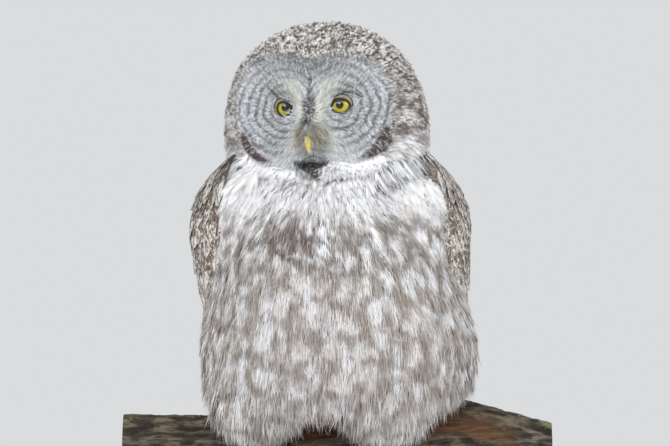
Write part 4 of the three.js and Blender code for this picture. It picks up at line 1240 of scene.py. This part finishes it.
def rows_on(surface, levels, span, gap, rng):
    """Staggered roots in rows over a surface, a set gap apart in each row"""
    us, vs = [], []
    for row, level in enumerate(levels):
        steps = np.linspace(*span, 80)
        run = np.linalg.norm(np.diff(surface(steps, np.full(80, level)), axis=0), axis=1).sum()
        count = max(3, int(run / gap))
        place = (np.arange(count) + 0.5 * (row % 2) + rng.uniform(-0.35, 0.35, count)) / count
        us.append(span[0] + (span[1] - span[0]) * (place % 1))
        vs.append(level + rng.uniform(-0.4, 0.4, count) * (levels[1] - levels[0]))
    return np.concatenate(us), np.concatenate(vs)


def body_coat(angle, height, length=0.034):
    """Roots, outward ways and the step to where the tips of the body feathers lie"""
    at, along_u, along_v = cross_out(body, angle, height)
    lower = height - length
    away = body(angle / fan(height) * fan(lower), np.maximum(lower, HEM))
    away[:, 2] = lower
    return at, upright(along_u, along_v, at * [1, 1, 0]), away - at


def body_patch(angle, height):
    return columns(0.5 + 0.48 * angle / np.pi, 0.1 + 0.75 * (height - 0.24) / 0.29)


def coat_colours(finish, along, across, tone):
    return finish.mix(tone.between(0.65, 0.95) * 0.36, body_colours(finish), WHITE)


coat = feathery("body_coat", coat_colours, on_body=lay)
rng = np.random.default_rng(5)
fronds = [frond(15, rng) for _ in range(12)]
for label, low, high, span, gap, long, wide in (
    ("back_coat", 0.300, 0.536, (1.95, 2 * np.pi - 1.95), 0.0078, 0.036, 0.0085),
    ("belly_coat", 0.292, 0.392, FRONT_SPAN, 0.0060, 0.038, 0.0078),
    ("breast_coat", 0.392, 0.530, FRONT_SPAN, 0.0056, 0.034, 0.0070),
):
    levels = np.arange(low, high, gap)
    angle, height = rows_on(body, levels, span, gap, rng)
    angle = (angle + np.pi) % (2 * np.pi) - np.pi
    under_chin = height < 0.512 + 0.020 * rise(np.abs(angle), 0.70, 1.10)
    angle, height = angle[under_chin], height[under_chin]
    at, out, way = body_coat(angle, height, long)
    out = out + np.array([0, 0, 0.45]) * rise(height, 0.445, 0.490)[:, None]
    plumage(label, coat, "body_plumage", fronds, at, out, way, long, wide, 0.010,
            body_patch(angle, height), rng, stand=0.0018, yaw=0.10, roll=0.20, jitter=0.0018)


# Fringe: hair-like tips that hang from the lower belly, longest in front of each foot. They are the open
# ends of the belly feathers' barbs.
wisps = [strand()]
count = 9000
angle = rng.uniform(-2.35, 2.35, count)
height = 0.290 + 0.050 * rng.random(count)
at, out, way = body_coat(angle, height, 0.040)
at = at - out * 0.003
over_feet = np.maximum(bell(at[:, 0] + 0.078, 0.046), bell(at[:, 0] - 0.054, 0.046)) * (at[:, 1] < 0)
long = rng.uniform(0.034, 0.046, count) + 0.018 * over_feet
plumage("belly_fringe", coat, "body_plumage", wisps, at, out, way, long, 0.00050, 0.003,
        body_patch(angle, height), rng, stand=0.0035, yaw=0.16, roll=0.5, sway=0.10, camber=0.0, jitter=0.001)


# Flanks: the breast's outer feathers, which lie over the front edge of each folded wing and hide it. Wisps
# over the whole breast soften them all.
FLANK_START = 0.62
FLANK_LENGTH = 0.034
coat_edge = profile((330, 80), (385, 68), (420, 58.5), (455, 53), (485, 51), (510, 57), (532, 72),
                    scale=math.pi / 180)


def flank(side, angle, height):
    """The lie of the feathers that run from the breast out over the front edge of a folded wing"""
    at = body(side * angle, height)
    edge = coat_edge(height)
    raised = rise(angle, edge - 0.36, edge - 0.04) * rise(height, HEM, 0.356)
    return at + (wing_shell(side, angle, height, -0.002) - at) * raised[..., None]


for side, side_name in SIDE_NAMES.items():
    over_wing = partial(flank, side)
    share, height = rows_on(over_wing, np.arange(0.330, 0.512, 0.0052), (0, 1), 0.0030, rng)
    angle = FLANK_START + share * (coat_edge(height) - 0.03 - FLANK_START)
    at, along_u, along_v = cross_out(over_wing, angle, height)
    lower = height - FLANK_LENGTH
    hung = np.maximum(lower, HEM)
    away = over_wing(np.minimum(angle + 0.02, coat_edge(hung)), hung)
    away[:, 2] = lower
    plumage("flank_" + side_name, coat, "body_plumage", fronds, at, upright(along_u, along_v, at * [1, 1, 0]),
            away - at, 0.036, 0.0062, 0.008, body_patch(side * angle, height), rng, stand=0.0016, yaw=0.07,
            roll=0.20, jitter=0.0018)
count = 18000
angle = rng.uniform(*FRONT_SPAN, count)
height = 0.300 + 0.195 * rng.random(count) ** 1.7
at, out, way = body_coat(angle, height, 0.028)
plumage("breast_wisps", coat, "body_plumage", wisps, at, out, way, rng.uniform(0.018, 0.034, count), 0.00040,
        0.001, body_patch(angle, height), rng, stand=0.0028, yaw=0.16, roll=0.5, sway=0.08, camber=0.0,
        jitter=0.001)


# Legs: soft feathered trousers that hang over each foot with a hair-like fringe, and toes clothed in short
# dense down to the claws.
THIGH_SIZE = np.array([0.044, 0.033, 0.042])
down = [frond(5, rng) for _ in range(6)]


def on_thigh(side, count, lowest, splay):
    """Roots, outward and falling ways and patches round the lower half of a foot's trousers"""
    polar = np.arccos(rng.uniform(lowest, 0.15, count))
    turn = rng.uniform(0, 2 * np.pi, count)
    facing = columns(np.sin(polar) * np.sin(turn), -np.sin(polar) * np.cos(turn), np.cos(polar))
    out = unit(facing / THIGH_SIZE)
    patch = columns(0.3 + 0.2 * (side > 0) + 0.1 * turn / 6.3, 0.02 + 0.08 * polar / 3.2)
    return thigh_middle(side) + facing * THIGH_SIZE, out, (out * splay + [0, 0, -1]) * SLIGHT, patch


for side, foot in FEET.items():
    leg_name = "leg_" + SIDE_NAMES[side]
    at, out, fall, patch = on_thigh(side, 360, -0.75, 0.15)
    plumage(f"{leg_name}_trousers", coat, "leg_plumage", fronds, at, out, fall, 0.030, 0.0065, 0.006, patch,
            rng, stand=0.001, yaw=0.14, roll=0.3, jitter=0.001, stands_for=[leg_name])
    at, out, fall, patch = on_thigh(side, 1500, -0.60, 0.22)
    plumage(f"{leg_name}_fringe", coat, "leg_plumage", wisps, at, out, fall, rng.uniform(0.026, 0.040, 1500),
            0.0005, 0.002, patch, rng, stand=0.002, yaw=0.14, roll=0.5, sway=0.10, camber=0.0)
    sleeves = []
    for k, toe_name in enumerate(TOES):
        run, turn = rng.uniform(0.0, 0.93, 280), rng.uniform(0, 2 * np.pi, 280)
        at, along_u, along_v = cross_out(partial(toe, foot, toe_name), turn, run)
        line = toe_line(foot, toe_name, bent_over(run), TOE_DEPTH)
        patch = [0.6 + 0.2 * (side > 0) + 0.04 * k + 0.03 * turn / 6.3, 0.02 + 0.06 * run]
        sleeves.append((at, unit(at - line), unit(along_v) * SLIGHT, np.stack(patch, -1)))
    at, out, way, patch = (np.concatenate(values) for values in zip(*sleeves))
    plumage(f"{leg_name}_toes", coat, "leg_plumage", down, at, out, way, 0.0095, 0.0021, 0.0012, patch, rng,
            stand=0.0008, yaw=0.2, roll=0.3)


# Head coat: dense short feathers that sweep back from the facial disc over crown, cheeks and nape, and
# longer ones that hang from the cheeks over the neck.
def head_coat(around, reach, hang=0.55):
    at, along_u, along_v = cross_out(head, around, reach)
    out = upright(along_u, along_v, at)
    stride = 0.014 * 2e-3 / np.linalg.norm(along_v, axis=-1)
    way = head(around, np.minimum(reach + stride, 1.999)) - at
    way = way + (np.array([0, 0, -0.014]) * (hang * rise(-at[:, 2], -0.085, -0.01))[:, None])
    return from_head(at), out @ HEAD_AXES.T, way @ HEAD_AXES.T


def head_patch(around, reach):
    return columns(0.5 + 0.24 * reach * np.cos(around), 0.5 + 0.24 * reach * np.sin(around))


def cap_colours(finish, along, across, tone):
    return finish.mix(tone.between(0.65, 0.95) * 0.28, head_colours(finish), WHITE)


cap = feathery("head_coat", cap_colours, on_head=to_head, reach=reach_of)
rng = np.random.default_rng(8)
small_fronds = [frond(7, rng) for _ in range(10)]
for label, low, high, gap, long, wide in (
    ("nape_coat", 1.42, 1.99, 0.0050, 0.017, 0.0042),
    ("crown_coat", 1.02, 1.44, 0.0036, 0.0125, 0.0030),
):
    around, reach = rows_on(head, np.arange(low, high, gap / 0.145), (-np.pi, np.pi), gap, rng)
    at, out, way = head_coat(around, reach)
    level = to_head(at)[:, 2]
    longer = 1 + 1.1 * rise(-level, -0.015, 0.045)
    plumage(label, cap, "face_plumage", small_fronds, at, out, way, long * longer,
            wide * (1 + 0.35 * (longer - 1)), 0.0042, head_patch(around, reach), rng, stand=0.0012, yaw=0.14,
            roll=0.22, jitter=0.0008)


# Collar: long loose feathers from the lower cheeks and the nape that hang over the top of the breast, the
# shoulders and the back, so that head and body run into one another.
rng = np.random.default_rng(14)
count = 1600
around = rng.uniform(-np.pi, np.pi, count)
in_front = bell(around, 1.0)
tilt = -0.14 - 0.55 * in_front - (0.56 - 0.36 * in_front) * rng.random(count)
facing = columns(np.sin(around) * np.cos(tilt), -np.cos(around) * np.cos(tilt), np.sin(tilt))
outward = columns(np.sin(around), -np.cos(around), 0)
from_nape = np.abs(around) - np.pi
slope = 0.16 + 0.62 * in_front + 0.30 * bell(np.abs(around) - 1.5, 0.45) - 0.50 * bell(from_nape, 0.9)
fall = outward * slope[:, None] + [0, 0, -1]
collar_patch = columns(0.5 + 0.30 * np.sin(around), 0.5 - 0.30 * np.cos(around))
plumage("collar_coat", coat, "body_plumage", [frond(13, rng) for _ in range(8)], from_head(on_skull(facing)),
        (outward + [0, 0, 0.45]) @ HEAD_AXES.T, fall @ HEAD_AXES.T * SLIGHT,
        rng.uniform(0.020, 0.038, count) * (1 - 0.40 * bell(from_nape, 0.8)), 0.0062,
        0.0055 + 0.0015 * in_front, collar_patch, rng, stand=0.0025 + 0.0030 * in_front, yaw=0.12, roll=0.22,
        jitter=0.0018)


# Facial disc: two shallow dishes of fine open-barbed feathers that radiate from the eyes, closed by a ruff
# of short stiff curved feathers along the rim.
def face_coat(x, z):
    def dish(u, v):
        return columns(u, face_depth(u, v, disc_reach(u, v)), v)

    at, along_u, along_v = cross_out(dish, x, z)
    out = upright(along_u, along_v, [0, -1, 0])
    from_eye = columns(x - np.sign(x) * EYE["apart"], z - EYE["height"])
    way = from_eye[:, :1] * unit(along_u) + from_eye[:, 1:] * unit(along_v)
    return from_head(at), out @ HEAD_AXES.T, unit(way) @ HEAD_AXES.T * SLIGHT


def face_patch(x, z):
    return columns(0.5 + 0.24 * x / DISC["side"], 0.5 + 0.24 * (z - DISC["height"]) / DISC["tall"])


barbs = [frond(5, rng) for _ in range(10)]
gap = 0.0019
grid_x, grid_z = np.meshgrid(np.arange(-0.081, 0.082, gap), np.arange(-0.043, 0.085, gap * 0.87))
grid_x = grid_x + (np.arange(grid_x.shape[0]) % 2)[:, None] * gap / 2
x = (grid_x + rng.uniform(-0.4, 0.4, grid_x.shape) * gap).ravel()
z = (grid_z + rng.uniform(-0.4, 0.4, grid_z.shape) * gap).ravel()
kept = (disc_reach(x, z) < 1.0) & ~((np.abs(x) < 0.004) & (z < 0.000) & (z > -0.022))
x, z = x[kept], z[kept]
at, out, way = face_coat(x, z)
kept = clear_of_eye(at) > 0
x, z, at, out, way = x[kept], z[kept], at[kept], out[kept], way[kept]
to_eye = np.hypot(np.abs(x) - EYE["apart"], z - EYE["height"])
plumage("disc_coat", cap, "face_plumage", barbs, at, out, way, 0.0060 + 0.05 * np.minimum(to_eye, 0.05),
        0.0017, 0.0026, face_patch(x, z), rng, stand=0.0006, yaw=0.12, roll=0.25, jitter=0.0006)
RUFF = 420
around = np.linspace(-np.pi, np.pi, RUFF, endpoint=False)
around = np.concatenate([around, around + 0.006, around + 0.003])
reach = np.repeat([0.965, 1.0, 1.035], RUFF) + rng.normal(0, 0.006, 3 * RUFF)
at, out, way = head_coat(around, reach, 0.1)
plumage("disc_ruff", cap, "face_plumage", [frond(5, rng) for _ in range(6)], at, out, way, 0.0095, 0.0020,
        0.0022, head_patch(around, reach), rng, stand=0.0020, yaw=0.16, roll=0.3, jitter=0.0012)


# Bristles: fine hair-like feathers that part at the base of the bill. Pale ones sweep up over the brows and
# out below the eyes, brown ones hang over the bill, and a black tuft stands out from the chin between the
# white feathers of the throat.
rng = np.random.default_rng(21)


def tuft(name, x, z, sweep, long, wide, stand, shapes, lean=(0, 0, 0), **settings):
    """Bristles rooted at places on the face, each pointing its own way in the head's frame"""
    at, out, _ = face_coat(x, z)
    out = unit(out + np.array(lean))
    kept = clear_of_eye(at) > -0.0006
    long, wide, stand = (np.broadcast_to(v, len(x))[kept] for v in (long, wide, stand))
    way = sweep[kept] @ HEAD_AXES.T * SLIGHT
    plumage(name, cap, "face_plumage", shapes, at[kept], out[kept], way, long, wide, 0.0,
            face_patch(x, z)[kept], rng, stand=stand, roll=0.5, sway=0.15, camber=0.0,
            **settings)


def down_and(sideways):
    """Ways that hang down, and go sideways by a share of that"""
    return columns(sideways, 0, -1)


count = 6400
x = rng.normal(0, 0.0130, count)
x = x + np.sign(x) * 0.0015
z = rng.uniform(-0.026, 0.056, count)
lift = np.clip((z - 0.010) * 45, -1.0, 1.1)
sweep = columns(np.sign(x) * (0.95 - 0.35 * np.abs(lift)), 0, lift)
long = rng.uniform(0.009, 0.016, count) * (1 + 0.35 * rise(z, 0.015, 0.040))
tuft("bristles", x, z, sweep, long, 0.00045, 0.0042, wisps, yaw=0.20)
count = 2400
x = rng.normal(0, 0.0052, count)
z = rng.uniform(-0.003, 0.017, count)
long = rng.uniform(0.012, 0.018, count)
stand = 0.0040 + 0.0080 * bell(x, 0.0050)
tuft("bill_bristles", x, z, down_and(x * 40), long, 0.00055, stand, wisps, yaw=0.25)
count = 2400
x = rng.normal(-0.0025, 0.0095, count)
z = rng.uniform(-0.036, -0.014, count)
stand = 0.0025 + 0.0060 * rise(-z, 0.014, 0.032)
tuft("chin_tuft", x, z, down_and((x - 0.003) * -26), rng.uniform(0.007, 0.011, count), 0.0008, stand,
     wisps + [frond(5, rng)], yaw=0.25)


# Throat band: short pure white feathers that stand out under the disc in a crisp bow, on both sides of the
# black chin.
count = {-1: 600, 1: 900}
x = np.concatenate([rng.uniform(-0.072, -0.019, count[-1]), rng.uniform(0.008, 0.064, count[1])])
rim = DISC["height"] - DISC["tall"] * (1 - np.abs(x / DISC["side"]) ** DISC_SQUARE) ** (1 / DISC_SQUARE)
z = rim - rng.uniform(-0.001, 0.005, len(x)) + 0.004 * bell(x - 0.018, 0.020) * (x > 0)
tuft("throat_band", x, z, down_and(x * 4), rng.uniform(0.010, 0.015, len(x)), 0.0032, 0.0120,
     [frond(7, rng) for _ in range(8)], lean=(-0.3, -0.9, 0.35), yaw=0.25, white=1)


# Room: a plain pale floor under soft, even studio light from above, in front and both sides. The camera
# stands far off, level with the breast.
floor_mesh = bpy.data.meshes.new("floor")
floor_mesh.from_pydata([(x, y, -0.0005) for x, y in ((-4, -4), (4, -4), (4, 4), (-4, 4))], [], [(0, 1, 2, 3)])
floor_object = add_object("floor", floor_mesh)
floor_paint = Finish("pale_floor", {"Roughness": 0.8})
clouds = floor_paint.noise(floor_paint.place(), 2.0)
floor_paint.feed("Base Color", floor_paint.mix(clouds, paint(206, 206, 204), paint(212, 212, 210)))
floor_mesh.materials.append(floor_paint.material)
world = bpy.data.worlds.new("soft_room")
bpy.context.scene.world = world
world.use_nodes = True
backdrop = world.node_tree.nodes["Background"].inputs
backdrop["Color"].default_value = paint(218, 220, 222)
backdrop["Strength"].default_value = 1.0


def lamp(name, at, towards, size, power_watts):
    light = bpy.data.lights.new(name, "AREA")
    light.shape = "DISK"
    light.size = size
    light.energy = power_watts
    holder = add_object(name, light)
    holder.location = at
    holder.rotation_euler = (Vector(towards) - Vector(at)).to_track_quat("-Z", "Y").to_euler()


lamp("key_light", (-1.0, -2.7, 1.9), (0, 0, 0.4), 2.0, 70)
lamp("fill_light", (2.2, -1.6, 1.2), (0, 0, 0.4), 2.0, 26)
lamp("rim_light", (0.6, 2.4, 2.2), (0, 0, 0.45), 1.6, 26)
bpy.context.scene.view_settings.view_transform = "Standard"
camera = bpy.data.cameras.new("camera")
camera.lens = 294
camera.sensor_width = 36
camera.clip_end = 60
viewpoint = add_object("camera", camera)
viewpoint.location = VIEWER
viewpoint.rotation_euler = (math.pi / 2, 0, 0)
bpy.context.scene.camera = viewpoint
